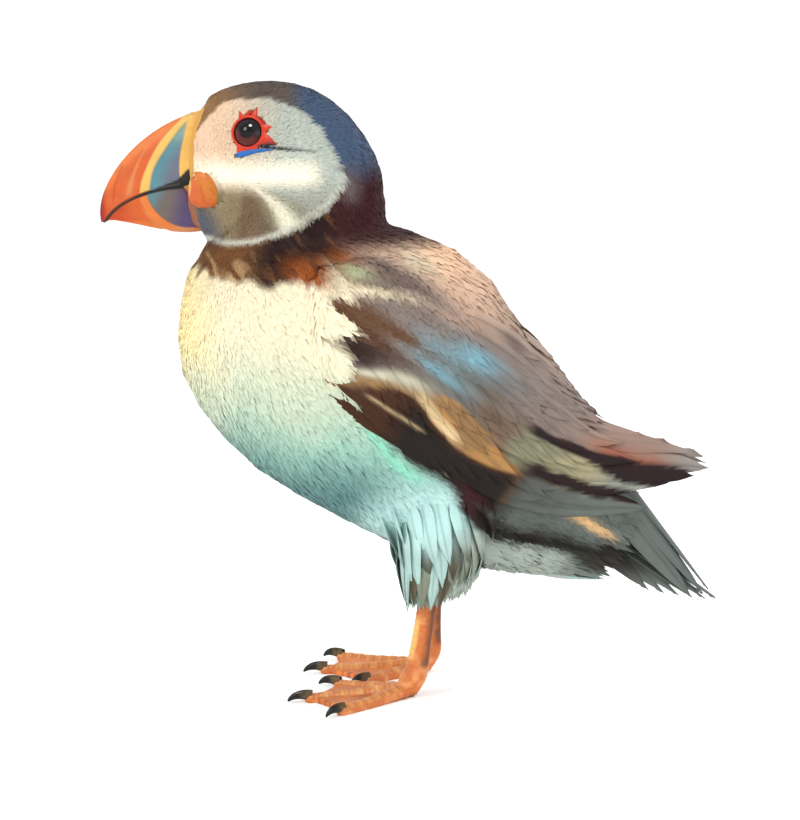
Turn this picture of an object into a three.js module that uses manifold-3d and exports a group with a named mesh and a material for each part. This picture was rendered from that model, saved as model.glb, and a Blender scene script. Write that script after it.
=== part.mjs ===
// A life-size Atlantic puffin, standing still on both webbed feet, as a museum model.
// Millimetres, +Z up. It faces -Y, and its left side is at +X. The floor is Z = 0.
import * as THREE from "three";
import { ParametricGeometry } from "three/addons/geometries/ParametricGeometry.js";
import { mergeVertices } from "three/addons/utils/BufferGeometryUtils.js";
import Module from "manifold-3d";

const wasm = await Module();
wasm.setup();

// ---------------------------------------------------------------- driving dimensions

const GAP = 0.32; // between neighbouring solids
const SQUARENESS = 2.25; // superellipse exponent of the body's sections
const TOLERANCE = 0.01; // below which cuts and joins make no new edges

// The trunk's axis runs back and down from the breast to the tail's tip.
const TRUNK = { y: -20, z: 112, tilt: THREE.MathUtils.degToRad(33) };

// at: along the axis. top, bottom: heights over the axis. half: half the width.
const TRUNK_STATIONS = [
  { at: -62, top: -3, bottom: -3, half: 0 },
  { at: -60.5, top: 5, bottom: -8.5, half: 11 },
  { at: -57, top: 13, bottom: -16.5, half: 19 },
  { at: -50, top: 22, bottom: -28.5, half: 28 },
  { at: -40, top: 32, bottom: -37.2, half: 34.5 },
  { at: -26, top: 41.5, bottom: -43, half: 39 },
  { at: -10, top: 47.5, bottom: -46.9, half: 41.3 },
  { at: 8, top: 51, bottom: -47.3, half: 41.8 },
  { at: 26, top: 49, bottom: -46, half: 40.4 },
  { at: 44, top: 40, bottom: -44, half: 36.5 },
  { at: 60, top: 31.5, bottom: -41, half: 31 },
  { at: 76, top: 25, bottom: -35, half: 24.5 },
  { at: 92, top: 18.5, bottom: -27.5, half: 19 },
  { at: 106, top: 11.5, bottom: -20, half: 14.5 },
  { at: 117, top: 5.5, bottom: -13.5, half: 10.5 },
  { at: 125, top: 1.5, bottom: -8, half: 5.5 },
  { at: 127.5, top: -3, bottom: -3, half: 0 },
];

// The folded wings lie on this larger form, which rises free of the rump behind.
const WING_STATIONS = [
  { at: -32, top: 38, bottom: -44, half: 40.5 },
  { at: -24, top: 43, bottom: -47, half: 43.3 },
  { at: -10, top: 48.7, bottom: -50, half: 46 },
  { at: 8, top: 52.2, bottom: -50.5, half: 46.8 },
  { at: 26, top: 50.2, bottom: -49, half: 45.4 },
  { at: 44, top: 43.2, bottom: -47, half: 41.8 },
  { at: 60, top: 36.2, bottom: -44, half: 36.2 },
  { at: 76, top: 31, bottom: -38, half: 29.5 },
  { at: 84, top: 30, bottom: -34, half: 26 },
  { at: 92, top: 31.5, bottom: -30, half: 22.5 },
  { at: 106, top: 35.2, bottom: -22, half: 17 },
  { at: 124, top: 39.2, bottom: -14, half: 11.5 },
];

// The head's axis is level and runs back from the bill.
const HEAD_STATIONS = [
  { at: -74, top: 186, bottom: 164, half: 4.5 },
  { at: -73, top: 190.5, bottom: 159.5, half: 7.4 },
  { at: -70.5, top: 197, bottom: 155.6, half: 10.4 },
  { at: -66.5, top: 201.2, bottom: 153.2, half: 13.2 },
  { at: -60, top: 204.2, bottom: 151.8, half: 16.3 },
  { at: -53, top: 205.8, bottom: 151.6, half: 18.6 },
  { at: -45, top: 206.3, bottom: 152.6, half: 20.4 },
  { at: -36, top: 204.9, bottom: 154, half: 21.2 },
  { at: -28, top: 201.4, bottom: 155, half: 20.9 },
  { at: -20, top: 194.8, bottom: 156, half: 18.9 },
  { at: -13.5, top: 186, bottom: 158.5, half: 15 },
  { at: -9.6, top: 177.5, bottom: 163, half: 9.5 },
  { at: -8.4, top: 170.5, bottom: 170.5, half: 0 },
];

// The neck's axis is upright. top is its front here, and bottom its back.
const NECK_STATIONS = [
  { at: 184, top: 34, bottom: 34, half: 0 },
  { at: 182, top: 42, bottom: 20, half: 10 },
  { at: 176, top: 52, bottom: 10.6, half: 17 },
  { at: 168, top: 58, bottom: 8, half: 20.8 },
  { at: 160, top: 62.5, bottom: 7.3, half: 23.2 },
  { at: 153, top: 67.2, bottom: 6.8, half: 25.4 },
  { at: 147, top: 71, bottom: 3, half: 28 },
  { at: 140, top: 73.6, bottom: -3, half: 31 },
  { at: 132, top: 75.4, bottom: -8, half: 33.5 },
  { at: 122, top: 76, bottom: -10, half: 34 },
  { at: 116, top: 66, bottom: -4, half: 26 },
  { at: 114, top: 34, bottom: 34, half: 0 },
];

// How many rings each form has along it, and how many corners round it.
const TRUNK_MESH = [18, 24];
const HEAD_MESH = [16, 20];
const NECK_MESH = [10, 20];

const HEAD_CUT = { y: -38, z: 158.4, tilt: THREE.MathUtils.degToRad(10.5) };
const NECK_CUT = { y: -36, z: 145.5, tilt: THREE.MathUtils.degToRad(13) };

// Bill, in the side plane as (y, z): the ridge, the mouth line and the lower edge, each as
// the four points of a Bezier curve from inside the face to the tip.
const CULMEN = [[-66, 196.4], [-85.4, 195.2], [-106.6, 173.4], [-103.1, 158.6]];
const MOUTH = [[-66, 172.4], [-78, 172], [-95.6, 167.5], [-102.1, 158.5]];
const GONYS = [[-66, 157.2], [-78, 153.6], [-86, 158.2], [-101, 160]];
// Half widths at the face and the tip, how much it narrows to the ridge, the last ring's place
// along it, and the share of a half-section that lies flat at the mouth line.
const BILL = { half: 8, tipHalf: 1.2, wedge: 0.62, last: 0.98, flat: 0.125 };
const BILL_MESH = [10, 16];
const MOUTH_STEP = 0.5; // how much narrower the lower half is than the upper one
const MOUTH_CLEAR = 0.15; // how far the lower half starts below the mouth line
const CERE = { y: -45.3, z: 177.8, radius: 31.2, raised: 0.45 }; // its front edge is an arc

const EYE = { y: -52.6, z: 189.9, radius: 6.2, seen: 4.8 };
// The fleshy ring round the eye, as [radius, height over the face] round its section.
const EYE_RING = [[5.1, 0.3], [5.35, 1.05], [6, 0.95], [6.4, 0], [5.8, -0.75]];
const EYE_PLATE = { thick: 1.9, raised: 0.15 };
const ROSETTE = { y: -68.2, z: 170.2, wide: 4.6, tall: 6.8, thick: 2.6, lean: 0.4, sunk: 0.2 };

const LEG = { x: 17, kneeY: 8.8, kneeZ: 43, ankleY: 5.3, ankleZ: 8.8 };
const TARSUS = { wide: 2.5, deep: 3.1 };
const THIGH = { y: 10.2, hem: 40.5, topY: 13, top: 74, inward: 2 };
// Half widths across and fore and aft, at the hem and how much more at the top.
const THIGH_HALF = { across: 7.6, acrossMore: 9.4, deep: 10, deepMore: 13 };
const THIGH_TUFTS = { count: 7, across: 6.6, deep: 8.8, drop: 5.5, uneven: 2.2, root: 9, tip: 0.35 };
const FOOT_STEP = 5; // how far the left foot stands ahead of the right one
const FOOT_TURN = { left: 12, right: -6 }; // outward from straight ahead, in degrees

// Toes from the outer one in: turn outward from the foot's own way, length, radius at its root.
const TOES = [
  { name: "outer", turn: 36, length: 34, radius: 2.4 },
  { name: "middle", turn: 2, length: 35, radius: 2.5 },
  { name: "inner", turn: -36, length: 27, radius: 2.2 },
];
const TOE = { tipRadius: 1.7, rise: 2.4, tipRise: 1.15 }; // rise: of its middle over the floor
const ANKLE = { across: 2.9, deep: 3.4, bulge: 1.3 };
const WEB = { thick: 1.3, reach: 0.97, hollow: 0.27, heel: 1.5 };
const CLAW = { length: 8, radius: 1.75, from: 2.15, arch: 3.6, tip: 0.62, slim: 0.82 };

const PRIMARIES_UPPER = [
  { from: [66, 17], to: [121.8, 36.6], width: 9 },
  { from: [64, 12], to: [118.4, 32], width: 9 },
  { from: [62, 7], to: [113.4, 27.4], width: 8.6 },
  { from: [60, 3], to: [107.6, 23], width: 8.4 },
];
const PRIMARIES_LOWER = [
  { from: [56, -2], to: [110.6, 14.6], width: 8 },
  { from: [52, -4], to: [104.5, 11], width: 8 },
  { from: [48, -6], to: [97, 7], width: 8 },
];
// A feather's blade: it widens from its root and is rounded off to its tip.
const BLADE = { thick: 1.3, root: 0.75, roundFrom: 0.66, tip: 0.06 };
const QUILL_SUNK = 1.2; // how deep a long feather's line lies in the wings' form
const LAYER = 0.5; // and how much deeper each next one does

// The covered part of a folded wing, by the place along the trunk's axis: its lower edge's
// height over the axis, and how far from the bird's middle its upper edge lies.
const SLAB = { first: -27, last: 97, thick: 3.4, thickBehind: 2, edge: 0.35 };
const LOW_EDGE = [[-27, 17], [-20, 8], [-8, -1], [8, -6], [27, -9], [47, -7.5], [71, 0], [97, 10]];
const HIGH_EDGE = [[-27, 33], [-10, 27], [10, 20], [35, 11], [60, 4.5], [97, 1.6]];
const MANTLE_GAP = 0.2; // between the two wings, besides the usual gap

const RECTRICES = 6; // tail feathers on each side
const TAIL = { root: 84, tip: 151, shorter: 2.9, spread: 2.4, droop: 1.35, width: 9.6 };

const COLOURS = {
  black: 0x2a2624,
  white: 0xe9e5da,
  orange: 0xe2762f,
  claw: 0x2e2822,
  eye: 0x1b1210,
  ring: 0xc8371d,
  plate: 0x56687a,
  bill: 0xdc5f30,
  cere: 0xe8c878,
  rosette: 0xe89a35,
};

// ---------------------------------------------------------------- solids

// A closed three.js geometry as a manifold-3d solid, without the triangles that have no area.
function solid(geometry) {
  const bare = geometry.clone();
  bare.deleteAttribute("normal");
  bare.deleteAttribute("uv");
  const merged = mergeVertices(bare, 1e-4);
  const corners = merged.index.array;
  const kept = [];
  for (let i = 0; i < corners.length; i += 3) {
    const [a, b, c] = corners.slice(i, i + 3);
    if (a !== b && b !== c && c !== a) kept.push(a, b, c);
  }
  const made = new wasm.Manifold(
    new wasm.Mesh({
      numProp: 3,
      vertProperties: merged.attributes.position.array,
      triVerts: new Uint32Array(kept),
    }),
  );
  return made.volume() < 0 ? solid(turnedInsideOut(merged, kept)) : made.setTolerance(TOLERANCE);
}

function turnedInsideOut(geometry, corners) {
  const turned = geometry.clone();
  turned.setIndex(corners.slice().reverse());
  return turned;
}

const union = (solids) => solids.reduce((a, b) => a.add(b));

// The main body, without the crumbs that cuts leave between close neighbours.
function mainBody(shape) {
  const bodies = shape.decompose();
  return bodies.reduce((a, b) => (b.volume() > a.volume() ? b : a));
}

// A closed skin through rings. ring(t, turn, point) sets the point at t from 0 to 1 along it
// and turn from 0 to 2 pi round it. Its ends are closed at middle(0) and middle(1).
function loft(ring, middle, along, around) {
  const point = (u, v, target) => {
    const step = u * (along + 2);
    if (step < 0.5) return middle(0, target);
    if (step > along + 1.5) return middle(1, target);
    return ring(THREE.MathUtils.clamp((step - 1) / along, 0, 1), v * 2 * Math.PI, target);
  };
  return solid(new ParametricGeometry(point, along + 2, around));
}

const power = (value, exponent) => Math.sign(value) * Math.abs(value) ** exponent;

// Smooth values between stations: t runs from 0 at the first to 1 at the last.
function sections(stations) {
  const keys = stations.map((_, i) => i / (stations.length - 1));
  const values = stations.flatMap((s) => [s.at, s.top, s.bottom, s.half]);
  const between = new THREE.CubicInterpolant(keys, values, 4);
  return (t) => {
    const [at, top, bottom, half] = between.evaluate(THREE.MathUtils.clamp(t, 0, 1));
    return { at, top, bottom, half };
  };
}

// The station position t at which the form has reached a place along its axis.
function stationAt(section, at) {
  let low = 0;
  let high = 1;
  for (let i = 0; i < 30; i++) {
    const middle = (low + high) / 2;
    if (section(middle).at < at) low = middle;
    else high = middle;
  }
  return low;
}

// A body form from stations. place(at, up, across, target) puts a point into the part's frame.
function form(stations, place, along, around, grow = 0) {
  const section = sections(stations);
  const first = stations[0].at;
  const last = stations[stations.length - 1].at;
  const away = (at) => at + grow * THREE.MathUtils.lerp(-1, 1, (at - first) / (last - first));
  const ring = (t, turn, target) => {
    const { at, top, bottom, half } = section(t);
    const centre = (top + bottom) / 2;
    const tall = Math.abs(top - bottom) / 2 + grow;
    const up = centre + tall * power(Math.cos(turn), 2 / SQUARENESS);
    const across = (Math.abs(half) + grow) * power(Math.sin(turn), 2 / SQUARENESS);
    return place(away(at), up, across, target);
  };
  const middle = (end, target) => {
    const { at, top, bottom } = section(end);
    return place(away(at), (top + bottom) / 2, 0, target);
  };
  return loft(ring, middle, along, around);
}

const axisBack = new THREE.Vector3(0, Math.cos(TRUNK.tilt), -Math.sin(TRUNK.tilt));
const axisUp = new THREE.Vector3(0, Math.sin(TRUNK.tilt), Math.cos(TRUNK.tilt));

function onTrunk(at, up, across, target) {
  target.set(across, TRUNK.y, TRUNK.z);
  return target.addScaledVector(axisBack, at).addScaledVector(axisUp, up);
}
const onHead = (at, up, across, target) => target.set(across, at, up);
const onNeck = (at, up, across, target) => target.set(across, -up, at);

// Everything on one side of a level plane that is tilted about X, a little away from it.
function beyond(cut, side) {
  const size = 400;
  const box = new THREE.BoxGeometry(size, size, size);
  box.translate(0, 0, side * (size / 2 + GAP / 2));
  box.rotateX(cut.tilt);
  box.translate(0, cut.y, cut.z);
  return solid(box);
}

// ---------------------------------------------------------------- bill

const sideCurve = (points) =>
  new THREE.CubicBezierCurve(...points.map(([y, z]) => new THREE.Vector2(y, z)));

// Half the bill's cross-section, as [share of the half width, share of the height]: flat at
// the mouth line, then up the wedge-shaped side to the rounded ridge.
function billProfile(u) {
  if (u < BILL.flat) return [u / BILL.flat, 0];
  const lift = 1 - (1 - (u - BILL.flat) / (1 - BILL.flat)) ** 1.35;
  return [(1 - BILL.wedge * lift) * Math.sqrt(1 - lift ** 5), lift];
}

// One half of the bill, between its edge line and the mouth line.
function billHalf(edge, { narrower = 0, clear = 0, grow = 0 }) {
  const outer = sideCurve(edge);
  const inner = sideCurve(MOUTH);
  const ring = (t, turn, target) => {
    const share = BILL.last * t;
    const ridge = outer.getPoint(share);
    const mouth = inner.getPoint(share);
    const half = THREE.MathUtils.lerp(BILL.half, BILL.tipHalf, share ** 0.9) - narrower;
    const [across, lift] = billProfile(turn <= Math.PI ? turn / Math.PI : 2 - turn / Math.PI);
    const reach = ridge.sub(mouth);
    const height = THREE.MathUtils.lerp(clear - grow, reach.length() + grow, lift);
    const place = mouth.add(reach.setLength(height));
    const side = turn <= Math.PI ? 1 : -1;
    return target.set(side * across * (half + grow), place.x, place.y);
  };
  const middle = (end, target) => {
    const share = BILL.last * end;
    const centre = outer.getPoint(share).lerp(inner.getPoint(share), 0.5);
    return target.set(0, centre.x, centre.y);
  };
  return loft(ring, middle, ...BILL_MESH);
}

// A round bar across the face, whose front marks where the cere ends.
function cereBar(grow) {
  const bar = new THREE.CylinderGeometry(CERE.radius + grow, CERE.radius + grow, 60, 60);
  bar.rotateZ(Math.PI / 2);
  bar.translate(0, CERE.y, CERE.z);
  return solid(bar);
}

function makeBill() {
  const lowerForm = { narrower: MOUTH_STEP, clear: MOUTH_CLEAR };
  const upper = billHalf(CULMEN, {}).subtract(cereBar(GAP));
  const cere = billHalf(CULMEN, { grow: CERE.raised }).intersect(cereBar(0));
  const upperGrown = billHalf(CULMEN, { grow: GAP }).subtract(cereBar(GAP));
  const cereGrown = billHalf(CULMEN, { grow: CERE.raised + GAP }).intersect(cereBar(GAP));
  const above = upperGrown.add(cereGrown);
  const lower = billHalf(GONYS, lowerForm).subtract(above);
  const socket = above.add(billHalf(GONYS, { ...lowerForm, grow: GAP }));
  return { upper, cere, lower, socket };
}

// ---------------------------------------------------------------- head

const headSection = sections(HEAD_STATIONS);

// How far the head's side lies from its middle at a height, and the way it faces there.
function headSide(y, z) {
  const across = (atY, atZ) => {
    const { top, bottom, half } = headSection(stationAt(headSection, atY));
    const level = Math.abs((atZ - (top + bottom) / 2) / ((top - bottom) / 2));
    return half * Math.max(0, 1 - level ** SQUARENESS) ** (1 / SQUARENESS);
  };
  const step = 1.5;
  const slopeY = (across(y + step, z) - across(y - step, z)) / (2 * step);
  const slopeZ = (across(y, z + step) - across(y, z - step)) / (2 * step);
  return { x: across(y, z), outward: new THREE.Vector3(1, -slopeY, -slopeZ).normalize() };
}

const eyeSink = Math.sqrt(EYE.radius ** 2 - EYE.seen ** 2);
const SIDES = [
  { name: "left", sign: 1 },
  { name: "right", sign: -1 },
];

// Turns a geometry that faces +Y to face outward from the head's side, and puts it there.
function faceOutward(geometry, y, z, sign) {
  const { x, outward } = headSide(y, z);
  const turn = new THREE.Quaternion().setFromUnitVectors(new THREE.Vector3(0, 1, 0), outward);
  geometry.applyQuaternion(turn);
  geometry.translate(x, y, z);
  if (sign < 0) geometry.scale(-1, 1, 1);
  return solid(geometry);
}

const turned = (points, segments) =>
  new THREE.LatheGeometry(points.map(([radius, height]) => new THREE.Vector2(radius, height)), segments);

// The eyeball's outline from its front to its back, as [radius, height over the face].
function ballOutline(radius, steps) {
  return Array.from({ length: steps + 1 }, (_, i) => {
    const angle = (i / steps) * Math.PI;
    return [i % steps ? radius * Math.sin(angle) : 0, radius * Math.cos(angle) - eyeSink];
  });
}

const eyeball = (sign) => faceOutward(turned(ballOutline(EYE.radius, 8), 12), EYE.y, EYE.z, sign);

const eyeRing = (sign) => faceOutward(turned([...EYE_RING, EYE_RING[0]], 16), EYE.y, EYE.z, sign);

// The room in the head for the eyeball and its ring.
function orbit(sign) {
  const wide = Math.max(...EYE_RING.map(([radius]) => radius)) + GAP;
  const deep = Math.min(...EYE_RING.map(([, height]) => height)) - GAP;
  const behind = ballOutline(EYE.radius + GAP, 8).filter(([, height]) => height < deep);
  return faceOutward(turned([[0, 6], [wide, 6], [wide, deep], ...behind], 16), EYE.y, EYE.z, sign);
}

// A horny plate beside the eye: its outline is in the side plane, as (y, z).
function eyePlate(outline, sign, grow) {
  const middle = outline.reduce((a, p) => a.add(p), new THREE.Vector2()).divideScalar(outline.length);
  const grown = outline.map((p) => {
    const away = p.clone().sub(middle);
    return middle.clone().add(away.setLength(away.length() + grow));
  });
  const y = middle.x;
  const z = middle.y;
  const thick = EYE_PLATE.thick + 2 * grow;
  const shape = new THREE.Shape(grown.map((p) => new THREE.Vector2(p.x - y, p.y - z)));
  const plate = new THREE.ExtrudeGeometry(shape, { depth: thick, bevelEnabled: false });
  plate.translate(0, 0, -thick / 2);
  // Two quarter turns: the drawing's x runs along +Y, its y along +Z, and it faces +X.
  plate.rotateX(Math.PI / 2);
  plate.rotateZ(Math.PI / 2);
  const { x, outward } = headSide(y, z);
  const turn = new THREE.Quaternion().setFromUnitVectors(new THREE.Vector3(1, 0, 0), outward);
  plate.applyQuaternion(turn);
  const place = new THREE.Vector3(x, y, z).addScaledVector(outward, EYE_PLATE.raised);
  plate.translate(place.x, place.y, place.z);
  if (sign < 0) plate.scale(-1, 1, 1);
  return solid(plate);
}

const plateAbove = () => {
  const base = EYE.z + 6.1;
  return [
    new THREE.Vector2(EYE.y - 2.9, base),
    new THREE.Vector2(EYE.y - 0.4, base + 4.6),
    new THREE.Vector2(EYE.y + 2.6, base),
  ];
};
const plateBelow = () => {
  const top = EYE.z - 6.3;
  return [
    new THREE.Vector2(EYE.y - 5, top - 0.7),
    new THREE.Vector2(EYE.y - 4.4, top - 2.8),
    new THREE.Vector2(EYE.y + 6.4, top - 1.4),
    new THREE.Vector2(EYE.y + 5.6, top),
  ];
};

function rosette(sign, grow) {
  const ball = new THREE.SphereGeometry(1, 10, 7);
  ball.scale(ROSETTE.thick + grow, ROSETTE.wide + grow, ROSETTE.tall + grow);
  ball.rotateX(ROSETTE.lean);
  const { x } = headSide(ROSETTE.y, ROSETTE.z);
  ball.translate(sign * (x - ROSETTE.sunk), ROSETTE.y, ROSETTE.z);
  return solid(ball);
}

// ---------------------------------------------------------------- wing and tail feathers

const wingSection = sections(WING_STATIONS);

// A point on the wings' form at a height over the trunk's axis, on the left side.
function onWing(at, up, sink, target) {
  const { top, bottom, half } = wingSection(stationAt(wingSection, at));
  const centre = (top + bottom) / 2;
  const level = THREE.MathUtils.clamp((up - centre) / ((top - bottom) / 2), -1, 1);
  const across = half * Math.max(0, 1 - Math.abs(level) ** SQUARENESS) ** (1 / SQUARENESS);
  return onTrunk(at, up, Math.max(across - sink, 1.4), target);
}

// A feather as a thin pointed blade: line(t) is its middle, over(t) the way across it, and
// face(t) the way that it faces.
function blade(line, over, face, width) {
  const ring = (t, turn, target) => {
    const rounding = Math.max(0, (t - BLADE.roundFrom) / (1 - BLADE.roundFrom)) ** 2.4;
    const taper = Math.max(Math.sqrt(Math.max(0, 1 - rounding)), BLADE.tip);
    const widening = THREE.MathUtils.lerp(BLADE.root, 1, Math.min(1, t * 3));
    target.copy(line(t));
    target.addScaledVector(over(t), (width / 2) * taper * widening * Math.cos(turn));
    return target.addScaledVector(face(t), (BLADE.thick / 2) * Math.sin(turn));
  };
  const middle = (end, target) => target.copy(line(end));
  return loft(ring, middle, 4, 4);
}

// One long wing feather between two places (at, up) on the left wing's form.
function primary({ from, to, width }, layer) {
  const rows = 24;
  const points = Array.from({ length: rows + 1 }, (_, i) => {
    const t = i / rows;
    const at = THREE.MathUtils.lerp(from[0], to[0], t);
    const up = THREE.MathUtils.lerp(from[1], to[1], t ** 1.08);
    return onWing(at, up, QUILL_SUNK + LAYER * layer, new THREE.Vector3());
  });
  const curve = new THREE.CatmullRomCurve3(points);
  const outward = (t) => {
    const place = curve.getPoint(t);
    const centre = onTrunk(THREE.MathUtils.lerp(from[0], to[0], t), -6, 0, new THREE.Vector3());
    return place.sub(centre).normalize();
  };
  const over = (t) => outward(t).cross(curve.getTangent(t)).normalize();
  const face = (t) => over(t).cross(curve.getTangent(t)).normalize();
  return blade((t) => curve.getPoint(t), over, face, width);
}

// The left wing's covered part: a curved slab on the wings' form, thinner at its edges.
function wingSlab() {
  const through = (pairs) =>
    new THREE.CubicInterpolant(pairs.map(([at]) => at), pairs.map(([, value]) => value), 1);
  const lowEdge = through(LOW_EDGE);
  const highEdge = through(HIGH_EDGE);
  const ring = (t, turn, target) => {
    const at = THREE.MathUtils.lerp(SLAB.first, SLAB.last, t);
    const { top, bottom, half } = wingSection(stationAt(wingSection, at));
    const centre = (top + bottom) / 2;
    const tall = (top - bottom) / 2;
    const [inner] = highEdge.evaluate(at);
    const [low] = lowEdge.evaluate(at);
    const across = Math.min(inner / half, 0.98);
    const highTurn = Math.asin(across ** (SQUARENESS / 2));
    const lowTurn = Math.acos(power((low - centre) / tall, SQUARENESS / 2));
    const ends = THREE.MathUtils.smoothstep(t, 0, 0.1) * THREE.MathUtils.smoothstep(1 - t, 0, 0.08);
    const pinch = THREE.MathUtils.lerp(SLAB.edge, 1, Math.sqrt(ends));
    const middleTurn = (highTurn + lowTurn) / 2;
    const spread = ((lowTurn - highTurn) / 2) * THREE.MathUtils.lerp(0.55, 1, Math.sqrt(ends));
    const place = middleTurn + spread * power(Math.cos(turn), 0.8);
    const depth = THREE.MathUtils.lerp(SLAB.thick, SLAB.thickBehind, t) * pinch;
    const lift = depth * power(Math.sin(turn), 0.7) - depth;
    const up = centre + (tall + lift) * power(Math.cos(place), 2 / SQUARENESS);
    const side = (half + lift) * power(Math.sin(place), 2 / SQUARENESS);
    return onTrunk(at, up, side, target);
  };
  const middle = (end, target) => {
    const at = end ? SLAB.last : SLAB.first;
    const { top, bottom } = wingSection(stationAt(wingSection, at));
    const [low] = lowEdge.evaluate(at);
    return onWing(at, (low + Math.min(top, (top + bottom) / 2 + 24)) / 2, 2, target);
  };
  return loft(ring, middle, 12, 12);
}

function makeLeftWing(trunkGrown) {
  const long = [...PRIMARIES_UPPER, ...PRIMARIES_LOWER].map((p, i) => primary(p, i % 4));
  const beside = new THREE.BoxGeometry(200, 400, 400);
  beside.translate(100 + GAP / 2 + MANTLE_GAP, 0, 100);
  return union([wingSlab(), ...long]).subtract(trunkGrown).intersect(solid(beside));
}

// One tail feather, counted out from the middle one, on the side of sign.
function rectrix(index, sign) {
  const out = index + 0.5;
  const length = TAIL.tip - TAIL.root - TAIL.shorter * out ** 1.25;
  const line = (t) => {
    const spread = (0.35 + 0.65 * t) * TAIL.spread * out;
    const droop = TAIL.droop * out * (0.5 + 0.5 * t) + 0.32 * index;
    const up = 5 * (1 - t) - droop;
    return onTrunk(TAIL.root + length * t, up, sign * spread, new THREE.Vector3());
  };
  const along = line(1).sub(line(0)).normalize();
  const lean = 0.16 * out;
  const flat = new THREE.Vector3(Math.cos(lean) * sign, 0, 0).addScaledVector(axisUp, -Math.sin(lean));
  const across = flat.addScaledVector(along, -flat.dot(along)).normalize();
  const normal = across.clone().cross(along);
  return blade(line, () => across, () => normal, TAIL.width);
}

function makeTail(trunkGrown, wings) {
  const feathers = SIDES.flatMap(({ sign }) =>
    Array.from({ length: RECTRICES }, (_, i) => rectrix(i, sign)),
  );
  return union(feathers).subtract(trunkGrown).subtract(union(wings));
}

// ---------------------------------------------------------------- legs and feet

// A round limb between two points, of elliptical section: radii(t) gives [across, along Y].
function limb(bottom, top, radii, along, around) {
  const ring = (t, turn, target) => {
    const [across, deep] = radii(t);
    target.lerpVectors(bottom, top, t);
    target.x += across * Math.cos(turn);
    target.y += deep * Math.sin(turn);
    return target;
  };
  const middle = (end, target) => target.copy(end ? top : bottom);
  return loft(ring, middle, along, around);
}

function tarsus({ sign, ankle }, grow) {
  const top = new THREE.Vector3(sign * (LEG.x - 0.5), LEG.kneeY, LEG.kneeZ);
  const radii = (t) => {
    const ends = 0.9 * (1 - t) ** 4 + 1.1 * t ** 2.5;
    return [TARSUS.wide + ends + grow, TARSUS.deep + ends + grow];
  };
  return limb(ankle, top, radii, 6, 10);
}

// The feathered leg: a cone that hangs from the belly, with pointed tufts round its hem.
function thigh(sign, trunkGrown, legGrown) {
  const bottom = new THREE.Vector3(sign * (LEG.x - 0.5), THIGH.y, THIGH.hem);
  const top = new THREE.Vector3(sign * (LEG.x - THIGH.inward), THIGH.topY, THIGH.top);
  const { across, acrossMore, deep, deepMore } = THIGH_HALF;
  const cone = limb(bottom, top, (t) => [across + acrossMore * t ** 0.7, deep + deepMore * t ** 0.7], 4, 12);
  const { count, tip: point } = THIGH_TUFTS;
  const tufts = Array.from({ length: count }, (_, i) => {
    const turn = (i / count) * 2 * Math.PI + 0.3;
    const out = [Math.cos(turn), Math.sin(turn)];
    const drop = THIGH_TUFTS.drop + THIGH_TUFTS.uneven * Math.sin(i * 2.4);
    const rim = new THREE.Vector3(THIGH_TUFTS.across * out[0], THIGH_TUFTS.deep * out[1], 0).add(bottom);
    const tip = rim.clone().add(new THREE.Vector3(out[0], 2.2 * out[1] + 0.8, -drop));
    const root = rim.clone().add(new THREE.Vector3(0.6 * out[0], out[1], THIGH_TUFTS.root));
    return limb(tip, root, (t) => [point + 2.6 * t ** 0.6, point + 2.9 * t ** 0.6], 1, 5);
  });
  return union([cone, ...tufts]).subtract(trunkGrown).subtract(legGrown);
}

// The stance of one leg: which side, where its ankle and toes meet, and the way of each toe.
function stance({ name, sign }) {
  const step = (-sign * FOOT_STEP) / 2;
  const ankle = new THREE.Vector3(sign * LEG.x, LEG.ankleY + step, LEG.ankleZ);
  const joint = new THREE.Vector3(sign * LEG.x, LEG.ankleY + step - 2.4, 0);
  const toeWay = ({ turn }) => {
    const angle = THREE.MathUtils.degToRad(turn + FOOT_TURN[name]);
    return new THREE.Vector3(sign * Math.sin(angle), -Math.cos(angle), 0);
  };
  return { name, sign, ankle, joint, toeWay };
}

// A toe: a knuckled limb along the floor, which the floor cuts flat.
function toe({ joint, toeWay }, spec) {
  const way = toeWay(spec);
  const across = new THREE.Vector3(way.y, -way.x, 0);
  const ring = (t, turn, target) => {
    const radius = THREE.MathUtils.lerp(spec.radius, TOE.tipRadius, t);
    const rise = THREE.MathUtils.lerp(TOE.rise, TOE.tipRise, Math.min(1, 1.6 * t));
    target.copy(joint).addScaledVector(way, spec.length * t);
    target.addScaledVector(across, radius * Math.cos(turn));
    target.z = rise + radius * Math.sin(turn);
    return target;
  };
  const middle = (end, target) => {
    target.copy(joint).addScaledVector(way, spec.length * end);
    return target.setZ(TOE.tipRise);
  };
  return loft(ring, middle, 4, 8);
}

// The web: a thin plate on the floor whose front edges curve in between the toes.
function web({ joint, toeWay }) {
  const ends = TOES.map((spec) => joint.clone().addScaledVector(toeWay(spec), spec.length * WEB.reach));
  const heel = joint.clone().addScaledVector(toeWay(TOES[1]), -WEB.heel);
  const shape = new THREE.Shape();
  shape.moveTo(heel.x, heel.y);
  shape.lineTo(ends[0].x, ends[0].y);
  for (const [from, to] of [[ends[0], ends[1]], [ends[1], ends[2]]]) {
    const middle = from.clone().lerp(to, 0.5).lerp(joint, WEB.hollow);
    shape.quadraticCurveTo(middle.x, middle.y, to.x, to.y);
  }
  shape.lineTo(heel.x, heel.y);
  const plate = { depth: WEB.thick, bevelEnabled: false, curveSegments: 6 };
  return solid(new THREE.ExtrudeGeometry(shape, plate));
}

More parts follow.
